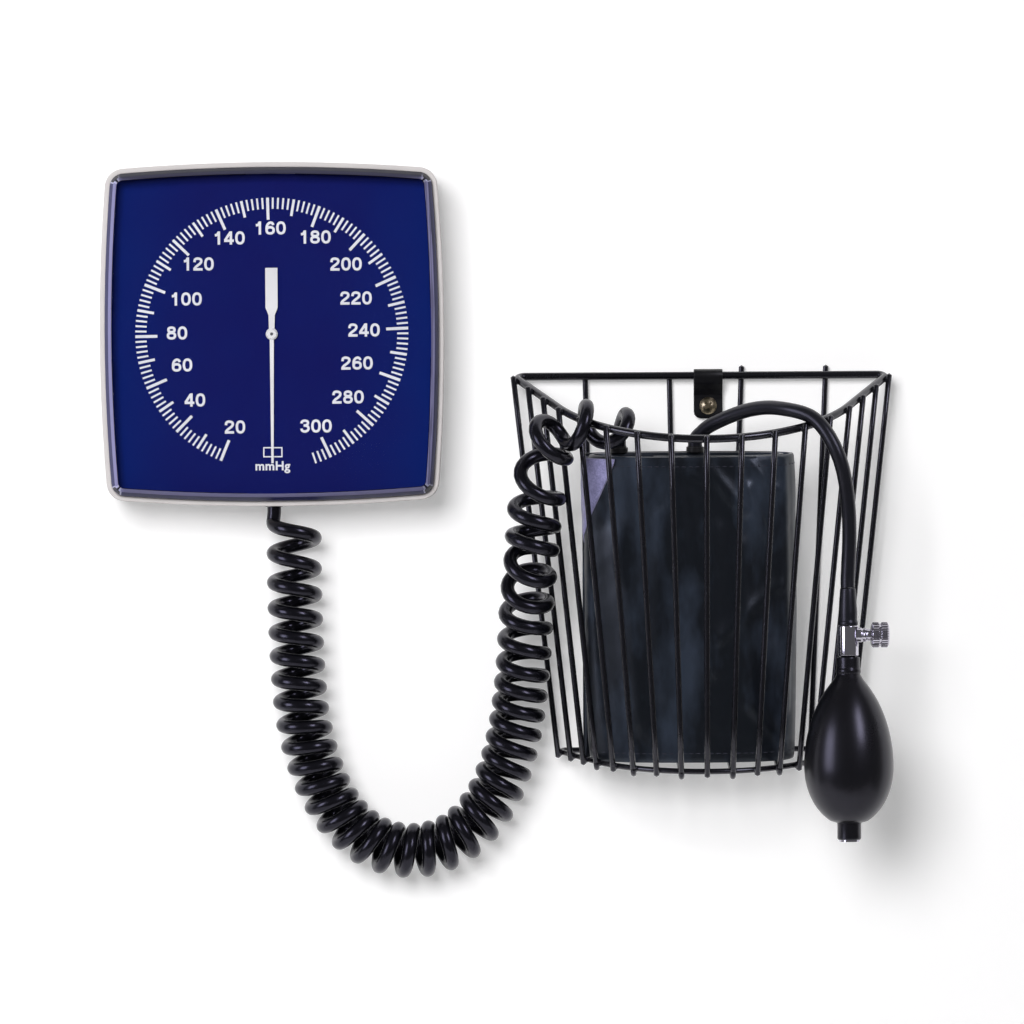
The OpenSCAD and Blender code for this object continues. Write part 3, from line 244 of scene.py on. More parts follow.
def rounded_ends(path: Array, radius: float, steps: int = 5) -> tuple[Array, Array]:
    """Adds short domed ends to a tube's path.

    Args:
        path: centre points of the full tube, ends included.
        radius: the tube's radius.
        steps: rings in a dome.
    Returns:
        The longer path, and a factor for the radius at each point.
    """
    lean = np.sin(np.linspace(0, math.pi / 2, steps + 1)[:-1]) * 0.55
    swell = np.maximum(np.sin(np.linspace(0.12, math.pi / 2, steps + 1)[:-1]), 0.1)
    start, end = unit(path[1] - path[0]), unit(path[-1] - path[-2])
    head = path[0] + start * radius * (lean[:, None] - 0.55)
    tail = (path[-1] - end * radius * (lean[:, None] - 0.55))[::-1]
    return (np.concatenate([head, path, tail]),
            np.concatenate([swell, np.ones(len(path)), swell[::-1]]))


def revolve(name: str, profile: Iterable[tuple[float, float]], origin: Sequence[float],
            axis: Sequence[float] = (0, 0, 1), sides: int = 64, sharp: float = 35.0) -> bpy.types.Object:
    """Turns an outline of (radius, height) points about an axis through the origin point."""
    outline = np.array(list(profile), dtype=float)
    z = unit(np.array(axis, dtype=float))
    x = unit(np.cross([0.0, 1.0, 0.0] if abs(z[1]) < 0.9 else [1.0, 0.0, 0.0], z))
    y = np.cross(z, x)
    turn = np.linspace(0.0, 2 * math.pi, sides, endpoint=False)[None, :, None]
    r, h = outline[:, 0][:, None, None], outline[:, 1][:, None, None]
    grid = np.array(origin) + h * z + r * (np.cos(turn) * x + np.sin(turn) * y)
    return add_skin(name, grid, along=True, sharp=sharp)


def soften(outline: Sequence[tuple[float, float]], radius: float,
           steps: int = 4) -> list[tuple[float, float]]:
    """Rounds each corner of a closed outline with a quadratic curve between two trimmed points."""
    pts = np.array(outline, dtype=float)
    before, after = np.roll(pts, 1, axis=0), np.roll(pts, -1, axis=0)
    cut_in = np.minimum(radius, 0.45 * np.linalg.norm(before - pts, axis=1))[:, None]
    cut_out = np.minimum(radius, 0.45 * np.linalg.norm(after - pts, axis=1))[:, None]
    a, c = pts + unit(before - pts) * cut_in, pts + unit(after - pts) * cut_out
    t = np.linspace(0, 1, steps + 1)[None, :, None]
    curve = (1 - t) ** 2 * a[:, None] + 2 * t * (1 - t) * pts[:, None] + t**2 * c[:, None]
    return [tuple(p) for p in curve.reshape(-1, 2)]


def join(name: str, pieces: Sequence[bpy.types.Object], sharp: float = 40.0) -> bpy.types.Object:
    """Joins mesh objects into one piece of that name."""
    work = bmesh.new()
    materials: list[bpy.types.Material] = []
    for piece in pieces:
        start = len(work.faces)
        work.from_mesh(piece.data)
        work.faces.ensure_lookup_table()
        offset = len(materials)
        for face in work.faces[start:]:
            face.material_index += offset
        materials += list(piece.data.materials)
        bpy.data.objects.remove(piece)
    mesh = bpy.data.meshes.new(name)
    work.to_mesh(mesh)
    work.free()
    for material in materials:
        mesh.materials.append(material)
    settle(mesh, sharp, weld=False)
    whole = bpy.data.objects.new(name, mesh)
    bpy.context.scene.collection.objects.link(whole)
    return whole


# Shader maths


class Signal:
    """A socket of a material's nodes that takes part in Python expressions."""

    def __init__(self, shade: "Shade", socket: bpy.types.NodeSocket) -> None:
        """Keeps the material and the socket."""
        self.shade, self.socket = shade, socket

    def __add__(self, other: Any) -> "Signal":
        """Sum."""
        return self.shade.maths("ADD", self, other)

    def __sub__(self, other: Any) -> "Signal":
        """Difference."""
        return self.shade.maths("SUBTRACT", self, other)

    def __rsub__(self, other: Any) -> "Signal":
        """Difference from a number."""
        return self.shade.maths("SUBTRACT", other, self)

    def __mul__(self, other: Any) -> "Signal":
        """Product."""
        return self.shade.maths("MULTIPLY", self, other)

    __radd__ = __add__
    __rmul__ = __mul__

    def sine(self) -> "Signal":
        """Sine of an angle in radians."""
        return self.shade.maths("SINE", self, 0.0)

    def held(self, low: float = 0.0, high: float = 1.0) -> "Signal":
        """The value kept between two limits and spread over 0 to 1."""
        return self.shade.node("ShaderNodeMapRange", {"clamp": True}, {0: self, 1: low, 2: high})


class Shade:
    """A material whose nodes are added one by one through a single method."""

    def __init__(self, name: str) -> None:
        """Starts a material with a principled shader.

        Args:
            name: the material's name.
        """
        self.material = bpy.data.materials.new(name)
        self.material.use_nodes = True
        self.tree = self.material.node_tree
        self.tree.nodes.clear()
        self.output = self.tree.nodes.new("ShaderNodeOutputMaterial")
        self.shader = self.tree.nodes.new("ShaderNodeBsdfPrincipled")
        self.tree.links.new(self.shader.outputs[0], self.output.inputs[0])

    def feed(self, socket: bpy.types.NodeSocket, value: Any) -> None:
        """Links a signal to a socket, or writes a plain value on it."""
        if isinstance(value, Signal):
            self.tree.links.new(value.socket, socket)
        elif isinstance(value, tuple) and len(value) == 3 and socket.type == "RGBA":
            socket.default_value = (*value, 1.0)
        else:
            socket.default_value = value

    def node(self, kind: str, settings: dict[str, Any], inputs: dict[Any, Any],
             output: Union[int, str] = 0) -> Signal:
        """Adds a node.

        Args:
            kind: the node's type.
            settings: its properties, set first.
            inputs: a value or signal for each socket number or name.
            output: the socket that is returned.
        Returns:
            The chosen output.
        """
        node = self.tree.nodes.new(kind)
        for key, value in settings.items():
            setattr(node, key, value)
        for key, value in inputs.items():
            self.feed(node.inputs[key], value)
        return Signal(self, node.outputs[output])

    def maths(self, operation: str, a: Any, b: Any) -> Signal:
        """A Math node."""
        return self.node("ShaderNodeMath", {"operation": operation}, {0: a, 1: b})

    def place(self, scale: Sequence[float] = (1, 1, 1)) -> Signal:
        """The piece's own coordinates in metres, scaled along each axis."""
        here = self.node("ShaderNodeTexCoord", {}, {}, "Object")
        return self.node("ShaderNodeMapping", {}, {"Vector": here, "Scale": tuple(scale)})

    def noise(self, size_mm: float, detail: float = 2.0, rough: float = 0.5,
              where: Optional[Signal] = None) -> Signal:
        """Soft noise whose blobs are about size_mm across."""
        spot = where or self.place()
        return self.node("ShaderNodeTexNoise", {}, {"Vector": spot, "Scale": 1000.0 / size_mm,
                                                    "Detail": detail, "Roughness": rough})

    def mix(self, factor: Any, a: Any, b: Any) -> Signal:
        """Colour a where the factor is 0 and b where it is 1."""
        return self.node("ShaderNodeMix", {"data_type": "RGBA"}, {0: factor, 6: a, 7: b}, 2)

    def parts(self, vector: Signal) -> list[Signal]:
        """The x, y and z of a vector."""
        split = self.node("ShaderNodeSeparateXYZ", {}, {0: vector}).socket.node
        return [Signal(self, out) for out in split.outputs]

    def bump(self, height: Signal, depth_mm: float, strength: float = 1.0) -> Signal:
        """A normal tilted by a height that is depth_mm tall at 1."""
        return self.node("ShaderNodeBump", {}, {"Height": height, "Strength": strength,
                                                "Distance": depth_mm * MM})

    def finish(self, **sockets: Any) -> bpy.types.Material:
        """Writes or links the shader's sockets, given with underscores for spaces."""
        for key, value in sockets.items():
            name = key.replace("_", " ").title().replace("Ior", "IOR")
            self.feed(self.shader.inputs[name], value)
        return self.material


# Finishes


class Finish:
    """A finish that makes its material once."""

    made: dict["Finish", bpy.types.Material] = {}

    def build(self) -> bpy.types.Material:
        """Makes the material."""
        raise NotImplementedError

    def material(self) -> bpy.types.Material:
        """The material, made at its first use."""
        if self not in Finish.made:
            Finish.made[self] = self.build()
        return Finish.made[self]


@dataclass(frozen=True)
class Moulded(Finish):
    """Moulded plastic or rubber: a fine grain, cloudy gloss and a little dust."""

    name: str
    colour: Colour
    roughness: float = 0.4
    grain_mm: float = 0.5
    grain_depth: float = 0.012
    cloud: float = 0.12
    dust: Colour = (0.3, 0.3, 0.31)
    dust_share: float = 0.02
    coat: float = 0.0
    shine: Colour = (1.0, 1.0, 1.0)

    def build(self) -> bpy.types.Material:
        """Colour clouds, grain bump and dust where broad noise is high."""
        s = Shade(self.name)
        cloud = s.noise(14.0, 3.0)
        fine = s.noise(self.grain_mm, 2.0)
        dark = tuple(c * (1 - self.cloud) for c in self.colour)
        base = s.mix(cloud.held(0.35, 0.65), self.colour, dark)
        dusty = (s.noise(6.0, 5.0, 0.7).held(0.5, 0.85)) * self.dust_share
        return s.finish(base_color=s.mix(dusty, base, self.dust),
                        roughness=self.roughness + (cloud - 0.5) * 0.12 + (fine - 0.5) * 0.08,
                        normal=s.bump(fine, self.grain_depth), coat_weight=self.coat,
                        coat_roughness=0.12, specular_tint=self.shine)


@dataclass(frozen=True)
class Metal(Finish):
    """Metal with machining lines round or along an axis and faint staining."""

    name: str
    colour: Colour
    roughness: float = 0.25
    lines: tuple[float, float, float] = (1.0, 1.0, 1.0)
    line_mm: float = 0.4
    depth: float = 0.004
    stain: float = 0.12

    def build(self) -> bpy.types.Material:
        """Noise stretched into lines drives roughness and bump; broad noise stains the colour."""
        s = Shade(self.name)
        streak = s.noise(self.line_mm, 3.0, 0.6, s.place(self.lines))
        broad = s.noise(7.0, 3.0)
        dark = tuple(c * (1 - self.stain) for c in self.colour)
        return s.finish(base_color=s.mix(broad.held(0.35, 0.7), self.colour, dark), metallic=1.0,
                        roughness=self.roughness + (streak - 0.5) * 0.16 + (broad - 0.5) * 0.1,
                        normal=s.bump(streak, self.depth))


@dataclass(frozen=True)
class Enamel(Finish):
    """Sprayed or printed paint with a faint orange-peel surface."""

    name: str
    colour: Colour
    roughness: float = 0.35
    peel_mm: float = 1.2
    depth: float = 0.003

    def build(self) -> bpy.types.Material:
        """Slight colour drift with a fine waviness."""
        s = Shade(self.name)
        peel = s.noise(self.peel_mm, 1.0)
        drift = s.noise(20.0, 2.0)
        deep = tuple(c * 0.9 for c in self.colour)
        return s.finish(base_color=s.mix(drift.held(0.3, 0.7), self.colour, deep),
                        roughness=self.roughness + (peel - 0.5) * 0.08, normal=s.bump(peel, self.depth))


@dataclass(frozen=True)
class DialBlue(Finish):
    """Deep blue satin dial enamel, with a faint lighter sheen painted into its colour towards the sides."""

    name: str = "dial_blue"
    colour: Colour = (0.0058, 0.0078, 0.098)
    # lighter blue painted in as sheen towards the dial's sides
    light: Colour = (0.0022, 0.0165, 0.145)

    def build(self) -> bpy.types.Material:
        """Painted sheen: the lighter blue is painted in towards the sides of the dial, with a little cloudy
        tone; fine noise roughens it.
        """
        s = Shade(self.name)
        x = s.parts(s.place())[0]
        # painted sheen: lighter towards the left and right sides, from the square of x
        side = (x * x * 180.0).held(0.15, 0.95)
        cloud = s.noise(30.0, 2.0)
        fine = s.noise(0.35, 2.0)
        painted_sheen_and_cloud = side * 0.55 + cloud.held(0.3, 0.7) * 0.18
        return s.finish(base_color=s.mix(painted_sheen_and_cloud, self.colour, self.light), specular_ior_level=0.05,
                        roughness=0.5 + (fine - 0.5) * 0.1, normal=s.bump(fine, 0.004))


@dataclass(frozen=True)
class Nylon(Finish):
    """Coated woven nylon: fine plain weave on the piece's map, painted sheen patches and soft scuffs."""

    name: str = "cuff_nylon"
    colour: Colour = (0.003, 0.0042, 0.0072)
    # paler colour of both the painted sheen patches and the scuffs
    pale: Colour = (0.036, 0.048, 0.074)
    thread_mm: float = 0.42

    def build(self) -> bpy.types.Material:
        """Weave height is the greater of two crossed thread waves; broad noise lifts the colour into patches
        of painted sheen, and scuff noise lifts it a little more where the cloth is scuffed.
        """
        s = Shade(self.name)
        flat = s.node("ShaderNodeUVMap", {"uv_map": "UVMap"}, {})
        u, v, _ = s.parts(flat)
        pace = math.pi / (self.thread_mm * MM)
        warp, weft = (u * pace).sine(), (v * pace).sine()
        over = ((u * pace * 0.5).sine() * (v * pace * 0.5).sine()) * 0.5 + 0.5
        weave = warp * warp * over + weft * weft * (1.0 - over)
        # painted sheen: broad noise patches of paler colour, also a little glossier
        broad = s.noise(24.0, 4.0, 0.55, s.place((1.3, 1.0, 0.5)))
        scuff = s.noise(7.0, 5.0, 0.7).held(0.55, 0.8)
        base = s.mix(broad.held(0.46, 0.68) * 0.85 + scuff * 0.12, self.colour, self.pale)
        return s.finish(base_color=s.mix(weave * 0.2, base, (0.001, 0.001, 0.002)),
                        roughness=0.33 - broad.held(0.4, 0.7) * 0.06 + weave * 0.05,
                        normal=s.bump(weave, 0.02, 0.5), specular_ior_level=0.6,
                        specular_tint=(0.8, 0.88, 1.0), sheen_weight=0.04, sheen_roughness=0.4)


@dataclass(frozen=True)
class LoopFabric(Finish):
    """Brushed loop fabric: a dense fuzz of short loops."""

    name: str = "loop_patch"
    colour: Colour = (0.33, 0.32, 0.56)
    # darker colour painted as shade between the tufts
    deep: Colour = (0.17, 0.165, 0.31)

    def build(self) -> bpy.types.Material:
        """Two scales of noise make tufts, with a darker colour painted as shade between them."""
        s = Shade(self.name)
        tuft = s.noise(0.8, 4.0, 0.7)
        clump = s.noise(3.5, 3.0)
        height = tuft * 0.7 + clump * 0.3
        return s.finish(base_color=s.mix(height.held(0.35, 0.62), self.deep, self.colour),
                        roughness=0.95, normal=s.bump(height, 0.35, 0.8), sheen_weight=0.5,
                        sheen_roughness=0.5)


@dataclass(frozen=True)
class Felt(Finish):
    """Pressed felt of the bulb's air filter."""

    name: str = "filter_felt"
    colour: Colour = (0.36, 0.35, 0.31)

    def build(self) -> bpy.types.Material:
        """Fibre noise drives colour and height."""
        s = Shade(self.name)
        fibre = s.noise(0.4, 5.0, 0.8)
        return s.finish(base_color=s.mix(fibre, (0.2, 0.19, 0.17), self.colour), roughness=1.0,
                        normal=s.bump(fibre, 0.12))


class Acrylic(Enum):
    """The faces of the clear cover, each with the tint, haze and share of light it stops. The bevel, edge and
    glint colours are painted light: painted refraction of the navy dial, a painted lilac reflection, painted
    shade and a painted highlight.
    """

    FRONT = ("clear_front", (0.05, 0.06, 0.3), 0.03, 0.012)
    # painted refraction: the navy of the dial seen through the outer bevel
    OUTER_BEVEL = ("clear_bevel_outer", (0.03, 0.032, 0.14), 0.3, 0.98)
    # painted reflection: the lilac of the inner bevel
    INNER_BEVEL = ("clear_bevel_inner", (0.3, 0.29, 0.52), 0.10, 0.96)
    SKIRT = ("clear_skirt", (0.40, 0.39, 0.47), 0.10, 0.7)
    # painted shade: the dark line of the rounded edge and the corner facets
    EDGE = ("clear_edge", (0.008, 0.008, 0.035), 0.1, 0.9)
    # painted highlight: the white glints at the corner mitres
    GLINT = ("clear_glint", (0.55, 0.55, 0.78), 0.08, 0.95)

    def material(self) -> bpy.types.Material:
        """Clear plastic: mostly see-through, more of it lit where the surface turns away.

        Painted light on the nearly opaque faces: their colour is painted brighter on the left, with streaks
        of painted highlight along the right side, and painted darker at the top.
        """
        name, tint, rough, share = self.value
        found = bpy.data.materials.get(name)
        if found:
            return found
        s = Shade(name)
        turn = s.node("ShaderNodeLayerWeight", {}, {"Blend": 0.35}, "Facing")
        haze = s.noise(40.0, 2.0)
        smear = s.noise(9.0, 4.0, 0.65)
        alpha = turn * turn * 0.3 + share + (haze - 0.5) * 0.02
        # painted light by place: brighter on the left, painted highlight streaks on the right, painted shade
        # at the top
        x, _, z = s.parts(s.place())
        left, right = ((x * way).held(70.0, 76.0) for way in (-1000.0, 1000.0))
        top = (z * 1000.0).held(72.0, 76.0)
        streak = s.noise(1.4, 2.0, 0.5, s.place((1.0, 1.0, 0.03))).held(0.45, 0.62)
        level = left * 0.7 + right * streak * 1.1 - top * 0.85 + 0.5
        dim = tuple(0.14 * c for c in tint)
        base = s.mix(level.held(0.0, 1.0), dim, tint) if share > 0.5 else tint
        return s.finish(base_color=base, roughness=rough + (smear - 0.5) * 0.05, alpha=alpha,
                        ior=1.49 if share < 0.5 else 1.16, normal=s.bump(smear, 0.002))


@dataclass(frozen=True)
class Hide(Finish):
    """Moulded rubber of the hand bulb: satin, slightly mottled, with a worn gloss."""

    name: str = "bulb_rubber"
    colour: Colour = (0.0035, 0.0035, 0.0045)

    def build(self) -> bpy.types.Material:
        """Fine pores in the bump and rubbed bands in the roughness."""
        s = Shade(self.name)
        pore = s.noise(0.5, 3.0, 0.6)
        rub = s.noise(22.0, 3.0, 0.5)
        bloom = s.noise(5.0, 5.0, 0.7).held(0.55, 0.9)
        return s.finish(base_color=s.mix(bloom * 0.1, self.colour, (0.03, 0.03, 0.033)),
                        roughness=0.29 + (rub - 0.5) * 0.1 + (pore - 0.5) * 0.06,
                        normal=s.bump(pore, 0.006), specular_tint=(0.84, 0.82, 1.0))


class Looks:
    """The finishes of this object, by the record's material slot."""

    CASE = Moulded("case_cream", (0.7, 0.67, 0.66), 0.42, 0.7, 0.01, 0.06, (0.4, 0.37, 0.34), 0.05)
    DIAL = DialBlue()
    SCALE = Enamel("scale_white", (0.84, 0.85, 0.9), 0.45, 0.6, 0.002)
    POINTER = Enamel("pointer_white", (0.86, 0.86, 0.88), 0.35)
    GASKET = Moulded("gasket_rubber", (0.012, 0.012, 0.013), 0.6)
    CURLED = Moulded("curled_rubber", (0.0022, 0.0022, 0.0034), 0.24, 0.6, 0.004, 0.2,
                     (0.03, 0.03, 0.034), 0.04, 0.0, (0.8, 0.78, 1.0))
    HOSE = Moulded("hose_rubber", (0.0055, 0.006, 0.0085), 0.34, 0.5, 0.006, 0.2, (0.04, 0.04, 0.045), 0.05,
                   0.0, (0.85, 0.83, 1.0))
    PORT = Moulded("port_rubber", (0.01, 0.01, 0.011), 0.45)
    BULB = Hide()
    WIRE = Moulded("coated_wire", (0.0018, 0.0018, 0.0028), 0.26, 0.5, 0.002, 0.2, (0.03, 0.03, 0.033), 0.04,
                   0.4, (0.82, 0.8, 1.0))
    STRAP = Moulded("strap_black", (0.003, 0.003, 0.0045), 0.38, 1.0, 0.01, 0.2)
    STEEL = Metal("steel", (0.55, 0.56, 0.58), 0.3, (1.0, 1.0, 0.15))
    SCREW = Metal("screw_steel", (0.56, 0.47, 0.32), 0.3, (1.0, 0.2, 1.0), 0.3, 0.006, 0.35)
    BRASS = Metal("brass", (0.72, 0.53, 0.22), 0.28, (0.2, 1.0, 1.0))
    BRONZE = Metal("capsule_bronze", (0.66, 0.47, 0.24), 0.3, (1.0, 1.0, 1.0), 0.5)
    SPRING = Metal("spring_steel", (0.12, 0.16, 0.32), 0.3)
    CHROME = Metal("chrome", (0.62, 0.6, 0.68), 0.1, (1.0, 1.0, 0.1), 0.25, 0.001, 0.05)
    NYLON = Nylon()
    THREAD = Moulded("cuff_thread", (0.03, 0.032, 0.05), 0.7, 0.3, 0.05)
    LOOP = LoopFabric()
    FELT = Felt()


def dress(piece: bpy.types.Object, finish: Finish) -> bpy.types.Object:
    """Gives a whole piece one finish."""
    piece.data.materials.clear()
    piece.data.materials.append(finish.material())
    return piece


def carry(nodes: Iterable[str], finish: Finish) -> None:
    """Gives kept CAD nodes a finish, without touching their meshes."""
    for node in nodes:
        piece = bpy.data.objects[node]
        while len(piece.material_slots) < 1:
            piece.data.materials.append(None)
        for slot in piece.material_slots:
            slot.material = finish.material()


def attach(piece: bpy.types.Object, slot: str, *nodes: str, body: str = "root") -> bpy.types.Object:
    """Rides a piece on its body and lets it stand for CAD nodes, which it hides."""
    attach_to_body(piece, body)
    if nodes:
        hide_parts(*nodes)
    return piece


# Shapes shared by several pieces


def flat_piece(name: str, loops: Sequence[Array], low: float, high: float, bevel: float = 0.0,
               sharp: float = 35.0) -> bpy.types.Object:
    """Fills flat outlines, thickens them between two depths and faces them to the viewer.

    A loop inside another is a hole. A drawn point (a, b) at depth d lands at (a, -d, b).

    Args:
        name: the piece's name.
        loops: closed outlines, one (a, b) row a point.
        low: depth of the back.
        high: depth of the front.
        bevel: width of the rounded edge.
        sharp: degrees past which an edge stays crisp.
    Returns:
        The new object.
    """
    curve = bpy.data.curves.new(name, "CURVE")
    curve.dimensions, curve.fill_mode = "2D", "BOTH"
    curve.extrude = max(0.0, (high - low) / 2 - bevel)
    curve.bevel_depth, curve.bevel_resolution, curve.offset = bevel, 2, -bevel
    for loop in loops:
        line = curve.splines.new("POLY")
        line.points.add(len(loop) - 1)
        line.points.foreach_set("co", np.column_stack([loop, np.zeros(len(loop)),
                                                       np.ones(len(loop))]).ravel())
        line.use_cyclic_u = True
    return face_viewer(name, curve, (low + high) / 2, sharp)


def face_viewer(name: str, curve: bpy.types.Curve, depth: float, sharp: float = 35.0) -> bpy.types.Object:
    """Makes a flat curve or a text a mesh, and turns its (a, b, c) into (a, -depth - c, b)."""
    flat = bpy.data.objects.new(name + "_flat", curve)
    bpy.context.scene.collection.objects.link(flat)
    bpy.context.view_layer.update()
    mesh = bpy.data.meshes.new_from_object(flat.evaluated_get(bpy.context.evaluated_depsgraph_get()))
    bpy.data.objects.remove(flat)
    bpy.data.curves.remove(curve)
    at = np.empty(len(mesh.vertices) * 3)
    mesh.vertices.foreach_get("co", at)
    at = at.reshape(-1, 3)
    mesh.vertices.foreach_set("co", (np.column_stack([at[:, 0], -depth - at[:, 2], at[:, 1]]) * MM).ravel())
    mesh.materials.clear()
    mesh.name = name
    piece = bpy.data.objects.new(name, mesh)
    bpy.context.scene.collection.objects.link(piece)
    settle(mesh, sharp)
    return piece


def rectangle(x0: float, z0: float, x1: float, z1: float) -> Array:
    """The four corners of a box drawn flat."""
    return np.array([[x0, z0], [x1, z0], [x1, z1], [x0, z1]], dtype=float)


def circle(x: float, z: float, radius: float, sides: int = 48) -> Array:
    """Points of a circle drawn flat."""
    turn = np.linspace(0.0, 2 * math.pi, sides, endpoint=False)
    return np.column_stack([x + radius * np.cos(turn), z + radius * np.sin(turn)])


def rounded_loop(points: Sequence[Sequence[float]], radii: Sequence[float], steps: int = 10,
                 closed: bool = True) -> Array:
    """A path of straight runs whose corners are arcs of given radii.

    At a corner between directions a and b that differ by the angle g, the arc starts
    radius times tan(g / 2) before the corner and its centre lies square to a.

    Args:
        points: the corners, in space or on a plane.
        radii: arc radius of each corner.
        steps: stretches in an arc.
        closed: the last corner joins the first.
    Returns:
        The path's points.
    """
    corners = np.array(points, dtype=float)
    out = []
    for i, corner in enumerate(corners):
        if not closed and i in (0, len(corners) - 1):
            out.append(corner[None])
            continue
        a = unit(corner - corners[i - 1])
        b = unit(corners[(i + 1) % len(corners)] - corner)
        turn = math.acos(float(np.clip(a @ b, -1, 1)))
        side = unit(b - (a @ b) * a)
        trim = radii[i] * math.tan(turn / 2)
        w = np.linspace(0.0, turn, steps + 1)[:, None]
        out.append(corner - a * trim + radii[i] * (np.sin(w) * a + (1 - np.cos(w)) * side))
    return np.concatenate(out)


def even_runs(path: Array, longest: float, closed: bool = False) -> Array:
    """The path with long stretches cut into equal shorter ones."""
    ends = np.roll(path, -1, axis=0) if closed else path[1:]
    starts = path if closed else path[:-1]
    counts = np.maximum(1, np.ceil(np.linalg.norm(ends - starts, axis=1) / longest).astype(int))
    share = np.concatenate([np.arange(n) / n for n in counts])[:, None]
    out = np.repeat(starts, counts, axis=0) * (1 - share) + np.repeat(ends, counts, axis=0) * share
    return out if closed else np.vstack([out, path[-1:]])


def wire_piece(name: str, runs: Sequence[Array], radius: float, reference: Sequence[float],
               sides: int = 16, closed: bool = False, dome: bool = True) -> bpy.types.Object:
    """Round wires along paths, with domed ends, in one piece.

    Args:
        name: the piece's name.
        runs: centre lines.
        radius: wire radius.
        reference: a direction that no wire follows.
        sides: points a ring.
        closed: each wire joins up with itself.
        dome: round the ends off.
    Returns:
        The new object.
    """
    verts, faces, start = [], [], 0
    for run in runs:
        path, swell = (run, np.ones(len(run))) if closed or not dome else rounded_ends(run, radius)
        if closed:
            wrapped = np.vstack([path[-1:], path, path[:1]])
            grid = tube_grid(wrapped, radius, sides, np.array(reference))[1:-1]
        else:
            grid = tube_grid(path, radius * swell, sides, np.array(reference))
        rows = len(grid)
        verts.append(grid.reshape(-1, 3))
        faces += (grid_faces(rows, sides, True, closed) + start).tolist()
        if not closed:
            faces.append((start + np.arange(sides)).tolist())
            faces.append((start + rows * sides - 1 - np.arange(sides)).tolist())
        start += rows * sides
    return add_mesh(name, np.concatenate(verts), faces, 50.0)


def beads(name: str, centres: Array, radius: float, stretch: Sequence[float] = (1, 1, 1)) -> bpy.types.Object:
    """Small lumps of coating: the same low ball at each centre."""
    theta, phi = np.meshgrid(np.linspace(0, math.pi, 7), np.linspace(0, 2 * math.pi, 10, endpoint=False),
                             indexing="ij")
    ball = np.stack([np.sin(theta) * np.cos(phi), np.sin(theta) * np.sin(phi), np.cos(theta)], -1)
    ball = ball * radius * np.array(stretch)
    grid = centres[:, None, None] + ball[None]
    one = grid_faces(7, 10)
    count = ball.shape[0] * ball.shape[1]
    faces = (one[None] + (np.arange(len(centres)) * count)[:, None, None]).reshape(-1, 4)
    return add_mesh(name, grid.reshape(-1, 3), faces.tolist(), 80.0)


def ribbon(name: str, path: Array, across: Sequence[float], half_width: Union[float, Array],
           half_thick: Union[float, Array], sharp: float = 60.0, corner: float = 0.35) -> bpy.types.Object:
    """A flat band along a path: a rounded-rectangle section, wide along a fixed direction.

    Args:
        path: centre points.
        across: direction of the width.
        half_width: half the width, one or one a point.
        half_thick: half the thickness, one or one a point.
        sharp: degrees past which an edge stays crisp.
        corner: share of the half thickness that the section's corners take.
    Returns:
        The new object.
    """
    side = unit(np.array(across, dtype=float))
    along = unit(np.gradient(path, axis=0))
    out = unit(np.cross(along, side))
    wide = np.broadcast_to(np.asarray(half_width, float), (len(path),))[:, None, None]
    thick = np.broadcast_to(np.asarray(half_thick, float), (len(path),))[:, None, None]
    a = np.linspace(0, math.pi / 2, 4)
    c, s = np.cos(a), np.sin(a)
    u = np.concatenate([c, -s, -c, s])
    v = np.concatenate([s, c, -s, -c])
    cx = np.concatenate([np.ones(4), -np.ones(4), -np.ones(4), np.ones(4)])
    cy = np.concatenate([np.ones(4), np.ones(4), -np.ones(4), -np.ones(4)])
    r = thick * corner
    x = (wide - r) * cx[None, :, None] + r * u[None, :, None]
    y = (thick - r) * cy[None, :, None] + r * v[None, :, None]
    grid = path[:, None] + x * side + y * out[:, None]
    return add_skin(name, grid, caps=True, sharp=sharp)


# Gauge


